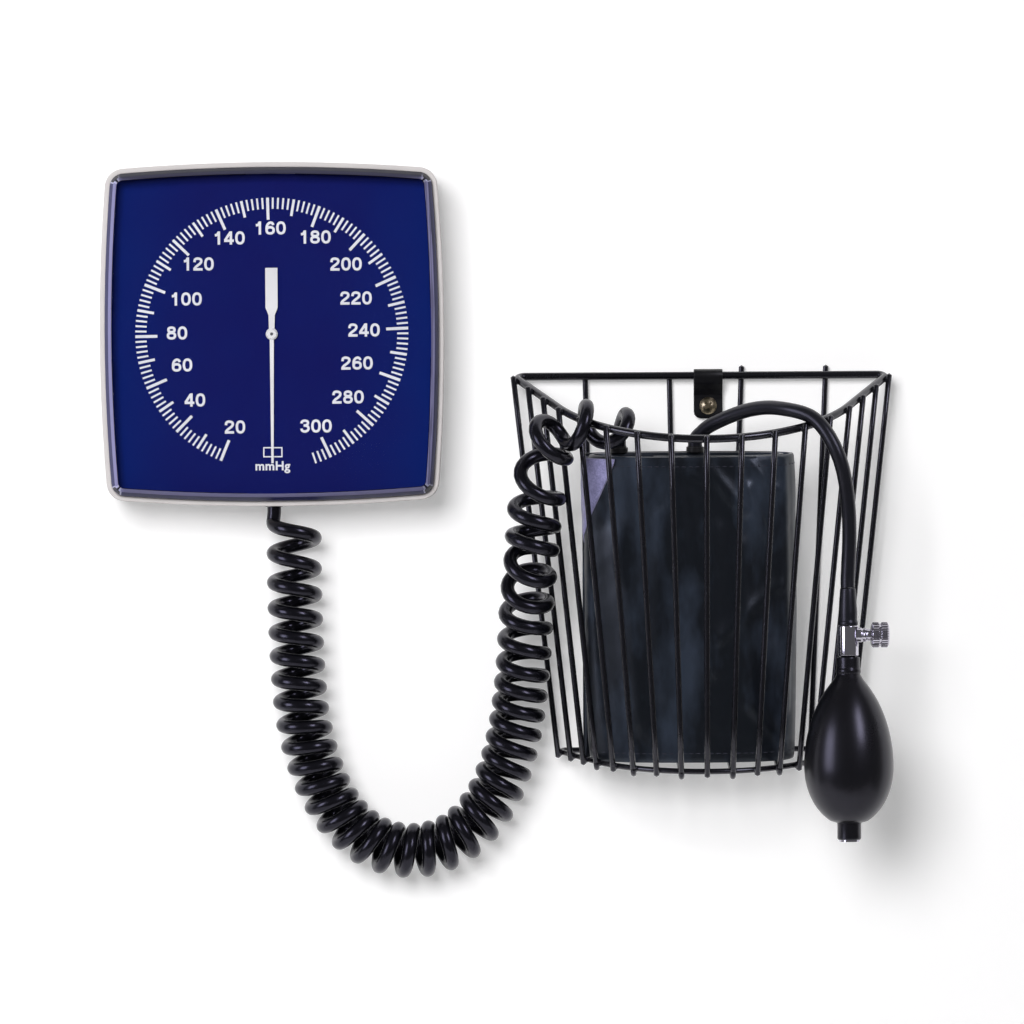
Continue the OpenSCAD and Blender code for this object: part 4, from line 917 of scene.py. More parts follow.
@dataclass
class GaugeCase:
    """The moulded tray of the gauge and its clear cover; sizes in millimetres."""

    size: float = 164.0
    bow: float = 900.0
    corner: float = 9.0
    wall: float = 2.4
    rim: float = 32.0
    front: float = 41.0
    skirt_top: float = 34.65
    outer_top: float = 38.3
    inner_top: float = 40.35
    edge_top: float = 40.6
    # corner span that takes the painted glint highlight
    mitre: tuple[float, float] = (71.7, 72.6)
    side_steps: int = 12
    corner_steps: int = 12
    hook_x: float = 45.0
    boss_x: float = 28.0

    def outline(self, inset: float) -> Array:
        """Four slightly bowed sides joined by corner arcs, drawn clockwise from the top.

        A side is an arc of radius big = bow - inset about a centre q = big - a below it, with a
        the half size. It meets the corner arc at the angle t where the two centres line up.
        """
        a, big, small = self.size / 2 - inset, self.bow - inset, max(0.8, self.corner - inset)
        q = big - a
        c = (math.sqrt(2 * (big - small) ** 2 - q * q) - q) / 2
        t = math.atan2(c, c + q)
        n, m, right = self.side_steps, self.corner_steps, math.pi / 2
        first, last = t * np.arange(n) / n, right - t + t * np.arange(1, n) / n
        turn = np.linspace(t, right - t, m + 1)
        x = np.concatenate([big * np.sin(first), c + small * np.sin(turn), big * np.sin(last) - q])
        y = np.concatenate([big * np.cos(first) - q, c + small * np.cos(turn), big * np.cos(last)])
        k = np.arange(4)[:, None] * right
        return np.stack([x * np.cos(k) + y * np.sin(k), y * np.cos(k) - x * np.sin(k)], -1).reshape(-1, 2)

    def ring(self, profile: Sequence[tuple[float, float]]) -> Array:
        """Grid of the outline repeated at each (inset, depth) of a profile."""
        rows = [np.insert(self.outline(inset), 1, -depth, axis=1) for inset, depth in profile]
        return np.stack(rows)

    def build_case(self) -> bpy.types.Object:
        """Side wall, back panel with hook slots, cover ledge, dial step, bosses and ribs."""
        wall = self.wall
        outer = soften([(1.6, 0.4), (0.5, 4), (0, 10), (0, self.rim - 0.05), (wall - 0.15, self.rim + 0.0),
                        (wall, self.rim - 0.5), (wall, 10), (wall + 0.4, 4), (wall + 1.4, 0.4)], 0.9)
        shell = add_skin("shell", self.ring(outer), along=True, sharp=50)
        ledge = add_skin("ledge", self.ring(soften([(wall - 1.2, 27), (wall - 1.2, 29), (5.4, 29),
                                                    (5.5, 31.3), (8.3, 31.3), (8.4, 27)], 0.2)),
                         along=True, sharp=50)
        slots = [rectangle(x - 6, -6, x + 6, 14) for x in (-self.hook_x, self.hook_x)]
        panel = flat_piece("panel", [self.outline(1.2), *slots], 6, 8, 0.15)
        parts = [shell, ledge, panel]
        for x in (-self.boss_x, self.boss_x):
            for z in (9.0, -31.0):
                parts.append(revolve("boss", [(1.25, 7.5), (4.2, 7.5), (4.0, 9), (4.0, 22.8), (3.8, 23.0),
                                              (1.4, 23.0), (1.25, 22.8)], (x, 0, z), (0, -1, 0), 40))
            for low, high in ((11.0, 80.5), (-80.5, -33.0)):
                parts.append(flat_piece("rib", [rectangle(x - 0.9, low, x + 0.9, high)], 7.5, 15.5, 0.3))
        case = join("case_shell", parts, 50)
        dress(case, Looks.CASE)
        return attach(case, "case_cream", "case_back")

    def build_cover(self) -> bpy.types.Object:
        """Clear box: skirt, two bevel facets, flat front; outside and inside in one closed skin."""
        f = self.front
        outside = [(2.5, 29.9), (2.5, 34.2), (2.6, 34.8), (4.1, 37.9), (4.3, 38.4), (6.0, 40.3),
                   (6.35, 40.5), (7.9, 41.0), (9.2, f), (30.0, f)]
        inside = [(30.0, f - 2.2), (9.0, f - 2.2), (8.2, 38.7), (6.61, 37.21), (4.8, 34.37), (4.8, 29.9)]
        grid = self.ring(outside[::-1] + inside[::-1])
        cover = add_skin("cover_shell", grid, along=False, caps=True, sharp=22)
        mesh = cover.data
        for zone in Acrylic:
            mesh.materials.append(zone.material())
        centre, normal = (np.empty(len(mesh.polygons) * 3) for _ in range(2))
        mesh.polygons.foreach_get("center", centre)
        mesh.polygons.foreach_get("normal", normal)
        centre, normal = centre.reshape(-1, 3) / MM, normal.reshape(-1, 3)
        across, depth = np.abs(centre[:, ::2]), -centre[:, 1]
        corner = across.min(1)
        zones = list(Acrylic)
        index = np.full(len(depth), zones.index(Acrylic.FRONT), dtype=np.int32)
        index[depth < self.skirt_top] = zones.index(Acrylic.SKIRT)
        index[(depth >= self.skirt_top) & (depth < self.outer_top)] = zones.index(Acrylic.OUTER_BEVEL)
        index[(depth >= self.outer_top) & (depth < self.inner_top)] = zones.index(Acrylic.INNER_BEVEL)
        bevel = (depth >= self.skirt_top) & (depth < self.inner_top)
        rounded = (depth >= self.inner_top) & (depth < self.edge_top) & (across.sum(1) > 90)
        # painted shade on the rounded edge and corner facets, painted highlight at the mitres
        index[rounded | (bevel & (corner > 72.4))] = zones.index(Acrylic.EDGE)
        index[bevel & (corner > self.mitre[0]) & (corner < self.mitre[1])] = zones.index(Acrylic.GLINT)
        index[(normal[:, 1] > 0.05) | (depth < 29.95)] = zones.index(Acrylic.FRONT)
        mesh.polygons.foreach_set("material_index", index)
        return attach(cover, "clear_cover", "clear_cover")

    def build(self) -> None:
        """Builds the case and cover, and dresses the gasket, grommet and wall plate."""
        self.build_case()
        self.build_cover()
        carry(["cover_gasket", "tube_grommet"], Looks.GASKET)
        carry(["wall_plate"], Looks.STEEL)
        log.info("gauge case: shell, clear cover, gasket and wall plate")


@dataclass
class Numerals:
    """Bold wide digits made of strokes of one width; places are shares of the digit's height.

    A digit is its rings (centre x, centre y, half width, half height of a squarish ellipse) and
    its curves, which run smoothly through their points.
    """

    height: float = 6.3
    stroke: float = 0.19
    wide: float = 0.73
    pace: float = 0.83
    rings: dict[str, tuple[tuple[float, float, float, float], ...]] = field(default_factory=lambda: {
        "0": ((0.365, 0.5, 0.268, 0.405),), "6": ((0.375, 0.325, 0.262, 0.23),),
        "8": ((0.365, 0.735, 0.228, 0.17), (0.365, 0.3, 0.268, 0.205))})
    curves: dict[str, tuple[Points, ...]] = field(default_factory=lambda: {
        "1": (((0.43, 0.0), (0.43, 1.0)), ((0.13, 0.71), (0.25, 0.73), (0.35, 0.8), (0.41, 0.93))),
        "2": (((0.1, 0.64), (0.13, 0.81), (0.23, 0.89), (0.365, 0.905), (0.5, 0.88), (0.6, 0.8),
               (0.61, 0.68), (0.55, 0.56), (0.41, 0.44), (0.24, 0.31), (0.13, 0.19), (0.1, 0.09)),
              ((0.01, 0.094), (0.71, 0.094))),
        "3": (((0.1, 0.7), (0.14, 0.83), (0.25, 0.895), (0.37, 0.905), (0.5, 0.88), (0.58, 0.8),
               (0.575, 0.68), (0.5, 0.58), (0.36, 0.545), (0.26, 0.54)),
              ((0.26, 0.54), (0.4, 0.54), (0.54, 0.49), (0.62, 0.38), (0.62, 0.26), (0.53, 0.14),
               (0.38, 0.095), (0.24, 0.11), (0.13, 0.19), (0.095, 0.31))),
        "4": (((0.51, 0.0), (0.51, 1.0)), ((0.0, 0.29), (0.73, 0.29)), ((0.48, 0.94), (0.06, 0.31))),
        "6": (((0.62, 0.72), (0.56, 0.84), (0.45, 0.9), (0.33, 0.885), (0.2, 0.78), (0.125, 0.62),
               (0.11, 0.45), (0.115, 0.32)),)})

    def paths(self, digit: str) -> list[tuple[Array, bool]]:
        """Middle lines of a digit's strokes, and whether each joins up with itself."""
        turn = np.linspace(0, 2 * math.pi, 40, endpoint=False)
        c, v = np.cos(turn), np.sin(turn)
        round_off = np.stack([np.sign(c) * np.abs(c) ** 0.85, np.sign(v) * np.abs(v) ** 0.85], -1)
        found = [(np.array(ring[:2]) + round_off * np.array(ring[2:]), True)
                 for ring in self.rings.get(digit, ())]
        for curve in self.curves.get(digit, ()):
            route = np.array(curve)
            steps = 2 if len(route) == 2 else (len(route) - 1) * 4 + 1
            found.append((spline(route, np.linspace(0, len(route) - 1, steps)), False))
        return found

    def number(self, text: str, at: tuple[float, float], low: float, high: float) -> list[bpy.types.Object]:
        """Strokes of a number centred on a place of the dial.

        Each stroke is its middle line moved half a stroke to both sides, raised from low to high.

        Args:
            text: the digits.
            at: the centre, in x and z.
            low: depth of the print's back.
            high: depth of its face.
        Returns:
            One mesh a stroke.
        """
        pieces = []
        start = at[0] - self.height * (self.pace * (len(text) - 1) + self.wide) / 2
        for i, digit in enumerate(text):
            corner = np.array([start + i * self.pace * self.height, at[1] - self.height / 2])
            for k, (path, closed) in enumerate(self.paths(digit)):
                face = high - 0.02 * k
                flat = corner + path * self.height
                wrapped = np.vstack([flat[-1:], flat, flat[:1]]) if closed else flat
                way = unit(np.gradient(wrapped, axis=0))[1:-1] if closed else unit(np.gradient(flat, axis=0))
                half = np.stack([-way[:, 1], way[:, 0]], -1) * self.height * self.stroke / 2
                edge = [np.insert(flat + side * half, 1, -d, axis=1) for side, d in
                        ((1, low), (1, face), (-1, face), (-1, low))]
                pieces.append(add_skin("stroke", np.stack(edge, 1), along=closed, caps=not closed, sharp=30))
        return pieces


@dataclass
class Dial:
    """The printed scale, its numbers' centres (x, z), its zero box and the pointer above it.

    The zero box is the half width and half height of its outer and inner edge.
    """

    face: float = 32.3
    radius: float = 65.0
    degrees_a_unit: float = 1.1157
    rise: float = 0.15
    last: int = 306
    places: dict[int, tuple[float, float]] = field(default_factory=lambda: {
        20: (-17.820, -44.115), 40: (-36.791, -31.141), 60: (-42.881, -14.435), 80: (-45.169, 0.819),
        100: (-40.784, 16.985), 120: (-34.968, 33.619), 140: (-20.129, 45.911), 160: (-0.574, 50.554),
        180: (20.830, 46.137), 200: (35.515, 33.189), 220: (40.179, 16.968), 240: (43.896, 1.705),
        260: (40.466, -13.991), 280: (36.081, -30.156), 300: (20.758, -43.874)})
    unit_at: tuple[float, float] = (0.112, -63.370)
    zero_at: tuple[float, float] = (0.156, -56.227)
    zero_box: Points = ((4.6, 2.45), (4.0, 1.85))

    def marks(self) -> bpy.types.Object:
        """Radial bars: one every 2 units, longer every 10 and longest every 20."""
        units = np.arange(20, self.last + 1, 2)
        long, middle = units % 20 == 0, units % 10 == 0
        length = np.where(long, 10.5, np.where(middle, 8.0, 5.3))
        half = np.where(long, 0.68, np.where(middle, 0.62, 0.45))
        turn = np.radians(-90 - self.degrees_a_unit * units)
        way = np.stack([np.cos(turn), np.sin(turn)], -1)
        side = np.stack([-way[:, 1], way[:, 0]], -1)
        ends = [way * (self.radius - length)[:, None], way * self.radius]
        flat = np.stack([ends[0] - side * half[:, None], ends[1] - side * half[:, None],
                         ends[1] + side * half[:, None], ends[0] + side * half[:, None]], 1)
        low, high = -self.face, -self.face - self.rise
        verts = np.stack([np.insert(flat, 1, low, axis=2), np.insert(flat, 1, high, axis=2)], 1)
        box = np.array([[0, 1, 2, 3], [7, 6, 5, 4], [0, 4, 5, 1], [1, 5, 6, 2], [2, 6, 7, 3], [3, 7, 4, 0]])
        faces = (box[None] + 8 * np.arange(len(units))[:, None, None]).reshape(-1, 4)
        return add_mesh("marks", verts.reshape(-1, 3), faces.tolist(), 30)

    def words(self, text: str, at: tuple[float, float], height: float, bold: float) -> bpy.types.Object:
        """Raised lettering centred on a place of the dial.

        Args:
            text: the characters.
            at: the centre, in x and z.
            height: height of a capital or digit.
            bold: how far the strokes grow on each side.
        Returns:
            The lettering as a mesh.
        """
        line = bpy.data.curves.new("line", "FONT")
        line.body, line.size = text, height / 0.72
        line.align_x, line.align_y = "CENTER", "CENTER"
        line.extrude, line.offset, line.resolution_u = self.rise / 2, bold, 6
        line.space_character = 1.0 + 1.6 * bold / height
        piece = face_viewer("word", line, self.face + self.rise / 2, 30)
        mesh = piece.data
        spots = np.empty(len(mesh.vertices) * 3)
        mesh.vertices.foreach_get("co", spots)
        spots = spots.reshape(-1, 3)
        middle = (spots.max(0) + spots.min(0)) / 2
        spots[:, 0] = spots[:, 0] - middle[0] + at[0] * MM
        spots[:, 2] = spots[:, 2] - middle[2] + at[1] * MM
        mesh.vertices.foreach_set("co", spots.ravel())
        return piece

    def build(self) -> None:
        """Builds the print and dresses plate and pointer."""
        parts = [self.marks()]
        for number, place in self.places.items():
            parts += Numerals().number(str(number), place, self.face, self.face + self.rise)
        parts.append(self.words("mmHg", self.unit_at, 4.3, 0.16))
        x, z = self.zero_at
        frame = [rectangle(x - a, z - b, x + a, z + b) for a, b in self.zero_box]
        parts.append(flat_piece("zero_box", frame, self.face, self.face + self.rise))
        printed = dress(join("dial_print", parts, 30), Looks.SCALE)
        attach(printed, "scale_white", "dial_scale")
        carry(["dial_plate"], Looks.DIAL)
        carry(["pointer", "pointer_hub"], Looks.POINTER)
        log.info("dial: %d marks, %d numbers and the pointer", (self.last - 20) // 2 + 1, len(self.places))


class Movement:
    """The gear movement behind the dial, carried over from the frame with metal finishes."""

    def build(self) -> None:
        """Dresses plates, gears, arbors, capsule, spring, screws and pipes."""
        carry(["movement_back_plate", "movement_front_plate", "movement_pillars", "sector_gear",
               "drive_pinion", "hairspring_collet", "hairspring_stud", "inlet_block", "inlet_pipe",
               "inlet_connector"], Looks.BRASS)
        carry(["movement_screws", "plate_screws", "sector_arbor", "pointer_arbor", "rocking_shaft",
               "capsule_post"], Looks.STEEL)
        carry(["capsule"], Looks.BRONZE)
        carry(["hairspring"], Looks.SPRING)
        log.info("movement: plates, gears, capsule and hairspring")


# Cuff, tubes and bulb


@dataclass
class Roll:
    """The rolled cuff's shape: a flattened spiral wound inwards, leaning with the basket."""

    x: float = 198.0
    y: float = -26.0
    z: float = -203.6
    lean: float = math.radians(6.5)
    half_w: float = 50.0
    half_d: float = 15.5
    pitch: float = 4.7
    start: float = 200.0
    step: float = 11.25
    height: float = 146.0

    def point(self, steps: Array) -> Array:
        """Middle line of the strip: a superellipse of power 2.7 that shrinks by the pitch a turn."""
        a = np.asarray(steps, dtype=float) * self.step
        w = np.radians(a + self.start)
        px = np.sign(np.cos(w)) * np.abs(np.cos(w)) ** (2 / 2.7)
        py = np.sign(np.sin(w)) * np.abs(np.sin(w)) ** (2 / 2.7)
        shrink = self.pitch * a / 360
        return np.stack([(self.half_w - shrink) * px * (1 - 0.1 * py), -(self.half_d - shrink) * py], -1)

    def run(self, steps: Array) -> Array:
        """Running length along the middle line."""
        return arc_lengths(np.insert(self.point(steps), 2, 0.0, axis=1))

    def outward(self, steps: Array) -> Array:
        """Direction square to the middle line, away from the roll's centre."""
        t = unit(self.point(np.asarray(steps) + 0.05) - self.point(np.asarray(steps) - 0.05))
        return np.stack([-t[..., 1], t[..., 0]], -1)

    def world(self, flat: Array, z: Array) -> Array:
        """A point of the upright roll tipped back by the lean and put in the basket."""
        c, s = math.cos(self.lean), math.sin(self.lean)
        return np.stack([self.x + flat[..., 0], self.y + flat[..., 1] * c - z * s,
                         self.z + flat[..., 1] * s + z * c], -1)

    def up(self) -> Array:
        """Direction of the cuff's height."""
        return np.array([0.0, -math.sin(self.lean), math.cos(self.lean)])

    def port_top(self, step: float) -> Array:
        """Middle of a port's top on the cuff's upper edge."""
        return self.world(self.point(np.array(float(step))), np.array(self.height + 3.3))


@dataclass
class CurledTube:
    """The curled pressure tube from the gauge to the cuff."""

    roll: Roll
    diameter: float = 6.6
    curl: float = 10.0
    curls_a_step: int = 2
    rings_a_curl: int = 24
    sides: int = 20
    ease: float = 0.25
    last: float = 19.875
    route: tuple[tuple[float, float, float, float], ...] = (
        (9.5, 16, -89.2, 1), (9.5, 16, -115.2, 1), (10, 16, -139.2, 1), (11, 16, -161.3, 1),
        (13, 16, -182.5, 1), (17.5, 16, -202, 1), (24.5, 16, -219.5, 1), (35, 16, -234.3, 1),
        (50, 16, -244.5, 1), (68.5, 16, -247, 1), (86.5, 16, -241, 1), (100.5, 16, -227, 1),
        (109, 17, -210, 1), (114, 19, -192.5, 1), (117, 22, -174.5, 1), (119, 26, -155, 1),
        (120.5, 32, -131, 1), (123, 47.8, -105.9, 0.99), (125.5, 51.6, -81.7, 1.02),
        (136.4, 67.3, -46.5, 0.95), (169.9, 46.7, -46.8, 0.7))

    def curls(self, u: Array) -> Array:
        """Points on the curls, u counted in route points.

        The route is the curls' own middle line (x, depth, z, share of the curl radius). A curl
        point is route + radius times cos w and sin w along two directions square to the route,
        with w growing by a full turn a curl and easing in at the gauge.
        """
        route = np.array(self.route, dtype=float)
        a, b = spline(route, np.maximum(0, u - 0.02)), spline(route, u + 0.02)
        middle = spline(route, u)
        flip = np.array([1.0, -1.0, 1.0])
        along = unit((b - a)[:, :3] * flip)
        e1 = unit(np.cross(along, [0.0, 1.0, 0.0]))
        e2 = np.cross(e1, along)
        turn = np.where(u < self.ease, u * u / (2 * self.ease), u - self.ease / 2)
        w = (math.pi + 2 * math.pi * self.curls_a_step * turn)[:, None]
        return middle[:, :3] * flip + self.curl * middle[:, 3:] * (np.cos(w) * e1 + np.sin(w) * e2)

    def centre_line(self) -> Array:
        """The tube's middle line: straight out of the gauge, round the curls, and a cubic bridge
        from the last curl that meets the cuff's port along the port's axis."""
        count = round(self.last * self.curls_a_step * self.rings_a_curl)
        curls = self.curls(np.arange(count + 1) / (self.curls_a_step * self.rings_a_curl))
        coarse = self.curls(np.array([self.last - 0.0625, self.last]))
        top, way, up = coarse[1], unit(coarse[1] - coarse[0]), self.roll.up()
        port = self.roll.port_top(35)
        foot = port + up * 4
        s = np.linspace(0, 1, 25)[1:, None]
        bridge = (2 * s - 3) * s * s * (top - foot) + top + 12 * s * (1 - s) * ((1 - s) * way + s * up)
        return np.vstack([[[0, -16, -82.2], [0, -16, -85]], curls, bridge, port[None]])

    def build(self) -> bpy.types.Object:
        path = self.centre_line()
        head = spline(path, np.linspace(0, 3, 10)[:-1])
        path = np.vstack([head, path[3:]])
        along = unit(np.gradient(path, axis=0))
        side = np.empty_like(path)
        side[0] = unit(np.cross(along[0], [0.0, 1.0, 0.0]))
        for i in range(1, len(path)):
            side[i] = unit(side[i - 1] - (side[i - 1] @ along[i]) * along[i])
        turn = np.linspace(0, 2 * math.pi, self.sides, endpoint=False)[None, :, None]
        around = np.cross(along, side)
        ring = np.cos(turn) * side[:, None] + np.sin(turn) * around[:, None]
        grid = path[:, None] + self.diameter / 2 * ring
        tube = dress(add_skin("curled_tube_rubber", grid, caps=True, sharp=60), Looks.CURLED)
        attach(tube, "black_rubber", "coiled_tube")
        return tube


@dataclass
class Hose:
    """The smooth hose from the cuff over the basket's rim to the bulb."""

    roll: Roll
    diameter: float = 6.8
    sides: int = 24
    lead: tuple[tuple[float, float, float], ...] = (
        (0.5, -0.5, 4.2), (1.7, -1.3, 6), (4, -3, 7.7), (8, -6.3, 9.9))
    route: tuple[tuple[float, float, float], ...] = (
        (215.4, -43.6, -41.5), (224.6, -50.6, -38), (236.3, -60.4, -36.6), (244.9, -68.4, -38.3),
        (251.8, -71.8, -39.5), (257.9, -75.1, -43.3), (263.3, -77.9, -51.7), (267.6, -79, -60.6),
        (270.6, -76.2, -73.2), (272.2, -73.4, -88.8), (272.2, -71.2, -104.3), (271.5, -70, -115),
        (271.5, -70, -122))

    def build(self) -> bpy.types.Object:
        port = self.roll.port_top(38.35)
        straight = port + self.roll.up() * np.array([[0.0], [1.3], [2.6]])
        route = np.vstack([straight, port + np.array(self.lead), self.route])
        last = len(route) - 1
        path = eased(resample(spline(route, np.linspace(0, last, last * 10 + 1)), 180), 9)
        grid = tube_grid(path, self.diameter / 2, self.sides, np.array([0.3, 1.0, 0.1]))
        hose = dress(add_skin("inflation_hose_rubber", grid, caps=True, sharp=60), Looks.HOSE)
        attach(hose, "black_rubber", "inflation_hose")
        return hose


@dataclass
class Basket:
    """The wire basket, its hanger strap and screw."""

    x: float = 205.0
    top_w: float = 180.0
    top_reach: float = 87.5
    top_nose: float = 76.0
    top_slope: float = math.radians(21)
    top_y: float = 4.6
    top_z: float = -20.4
    top_r: float = 1.9
    low_w: float = 142.0
    low_reach: float = 62.5
    low_nose: float = 60.0
    low_slope: float = math.radians(7.5)
    low_y: float = 4.05
    low_z: float = -200.0
    wire_r: float = 1.35
    bend: float = 3.5
    room: float = 6.3
    weld: float = 0.3
    back_y: float = -1.65
    back_x: tuple[float, float] = (17.4, 57.9)
    back_shift: float = 2.3
    stub: float = 2.2
    turn_r: float = 2.6
    strap_x: float = 208.5
    strap_half: float = 6.9
    strap_round: float = 3.5

    def lay(self, top: bool, p: Array) -> Array:
        """Puts flat (across, out) points of the top or bottom rim on its slope."""
        slope, y, z = self.low_slope, self.low_y, self.low_z
        if top:
            slope, y, z = self.top_slope, self.top_y, self.top_z
        across, out = p[..., 0], p[..., 1]
        return np.stack([self.x + across, -y - out * math.cos(slope), z - out * math.sin(slope)], -1)

    def sizes(self, top: bool) -> tuple[float, float, float]:
        """Width, reach and nose radius of a rim."""
        if top:
            return self.top_w, self.top_reach, self.top_nose
        return self.low_w, self.low_reach, self.low_nose

    def apex(self, top: bool) -> float:
        """How far out the rim's two straight sides would meet."""
        w, reach, nose = self.sizes(top)
        c = reach - nose
        a = math.pi - math.atan2(c, w / 2) - math.asin(nose / math.hypot(w / 2, c))
        return w / 2 * math.tan(math.pi - a)

    def rim_path(self, top: bool) -> Array:
        """The rim's closed middle line: a triangle with small back corners and a large nose."""
        w, _, nose = self.sizes(top)
        corners, radii = [(-w / 2, 0), (w / 2, 0), (0, self.apex(top))], [self.bend, self.bend, nose]
        coarse, fine = 14, 60
        back, front = rounded_loop(corners, radii, coarse), rounded_loop(corners, radii, fine)
        flat = np.vstack([back[:2 * (coarse + 1)], front[2 * (fine + 1):]])
        return self.lay(top, even_runs(flat, 9.0, closed=True))

    def front(self, top: bool, k: Array, off: float) -> Array:
        """Flat points at shares k / 8 of the way round a rim's front, stood off outwards."""
        w, reach, nose = self.sizes(top)
        c = reach - nose
        lean = math.atan2(self.apex(top), w / 2)
        arc = nose * lean
        run = math.sqrt(w * w / 4 + c * c - nose * nose)
        d = np.abs(k) / 8 * (arc + run - self.room)
        a = np.minimum(d / arc, 1) * lean
        over = np.maximum(0, d - arc)
        side = np.where(k < 0, -1.0, 1.0)
        return np.stack([side * ((nose + off) * np.sin(a) + over * math.cos(lean)),
                         c + (nose + off) * np.cos(a) - over * math.sin(lean)], -1)

    def ends(self) -> tuple[Array, Array, Array]:
        """Numbers of the 17 front wires, and where each crosses the top and bottom rims."""
        k = np.arange(-8, 9).astype(float)
        top = self.lay(True, self.front(True, k, self.top_r + self.wire_r - self.weld))
        foot = self.lay(False, self.front(False, k, 2 * self.wire_r - self.weld))
        return k, top, foot

    def floor_corner(self, top: Array, foot: Array) -> Array:
        """Where a wire turns under the basket: below the bottom rim by one wire and a little."""
        u = unit(foot - top)
        drop = 2 * self.wire_r - self.weld + 0.2
        return foot - u * (drop / u[..., 2:3])

    def build_rims(self) -> None:
        """The two closed rims, each one bent and welded wire."""
        for top, name, radius in ((True, "basket_top_rim", self.top_r),
                                  (False, "basket_bottom_rim", self.wire_r)):
            slope = self.top_slope if top else self.low_slope
            square = (0, -math.sin(slope), math.cos(slope))
            rim = wire_piece(name + "_wire", [self.rim_path(top)], radius, square, 24, closed=True)
            attach(dress(rim, Looks.WIRE), "coated_wire", name)

    def build_wires(self) -> None:
        """Front wires with their weld lumps, and the floor and back wires they run on into."""
        k, top, foot = self.ends()
        corner = self.floor_corner(top, foot)
        turned = np.isin(np.abs(k), (1, 3, 5))
        fronts, floors, backs = [], [], []
        for i, number in enumerate(k):
            u = unit(foot[i] - top[i])
            if not turned[i]:
                fronts.append(even_runs(np.stack([top[i] - u * self.stub, foot[i] + u * 2]), 30.0))
                continue
            inner = abs(number) != 3
            back = np.array([corner[i][0], self.back_y if inner else -2.0, self.low_z - 2.6])
            bends = [0, self.turn_r, 0]
            turn = rounded_loop([top[i] - u * self.stub, corner[i], back], bends, 10, closed=False)
            fronts.append(even_runs(turn[:2], 30.0))
            if not inner:
                floors.append(turn[1:])
                continue
            x = self.x + self.back_shift + math.copysign(self.back_x[int(abs(number) > 1)], number)
            high = np.array([x, self.back_y, self.top_z + (1.2 if number < 0 else 4.2)])
            rise = rounded_loop([corner[i], back, high], bends, 10, closed=False)
            floors.append(np.vstack([turn[1:-1], rise[1:2]]))
            backs.append(rise[1:])
        lumps = np.vstack([self.lay(top, self.front(top, k, inward))
                           for top, inward in ((True, self.top_r * 0.75), (False, 1.1))])
        front = join("front_wire_set", [wire_piece("front", fronts, self.wire_r, (0, 1, 0.2)),
                                        beads("welds", lumps, 1.75, (1.15, 0.9, 1.0))], 60)
        attach(dress(front, Looks.WIRE), "coated_wire", "front_wires")
        floor = wire_piece("floor_wire_set", floors, self.wire_r, (1, 0, 0))
        attach(dress(floor, Looks.WIRE), "coated_wire", "floor_wires")
        back = wire_piece("back_wire_set", backs, self.wire_r, (1, 0, 0))
        attach(dress(back, Looks.WIRE), "coated_wire", "back_wires")

    def build_strap(self) -> None:
        """Strip folded over the rail: up the wall side, round the rail, down the front."""
        r = self.top_r + 0.7
        a = np.radians(np.linspace(-12, 186, 30))
        over = np.stack([-self.top_y + r * np.cos(a), r * np.sin(a)], -1)
        path = np.vstack([[(-1.0, -20.6), (-1.0, -14), (-1.0, -7.0), (-1.05, -5.2)], over,
                          [(-6.4, -3.6), (-4.2, -6.4), (-2.65, -9.0), (-2.25, -11.5), (-2.2, -15),
                           (-2.2, -20.6)]])
        path = path + np.array([0.0, self.top_z])
        even = resample(np.insert(path, 0, self.strap_x, axis=1), 110)
        s = arc_lengths(even)
        edge = np.minimum(s, s[-1] - s)
        half = self.strap_half - self.strap_round * (1 - np.sqrt(np.clip(
            1 - (1 - np.clip(edge / self.strap_round, 0, 1)) ** 2, 0, 1)))
        strap = ribbon("hanger_strip", even, (1, 0, 0), half, 0.6)
        attach(dress(strap, Looks.STRAP), "strap_black", "hanger_strap")
        carry(["hanger_screw"], Looks.SCREW)

    def build(self) -> None:
        """Builds rims, wires and strap."""
        self.build_rims()
        self.build_wires()
        self.build_strap()
        log.info("basket: two rims, 17 front wires, floor, back wires, strap and screw")


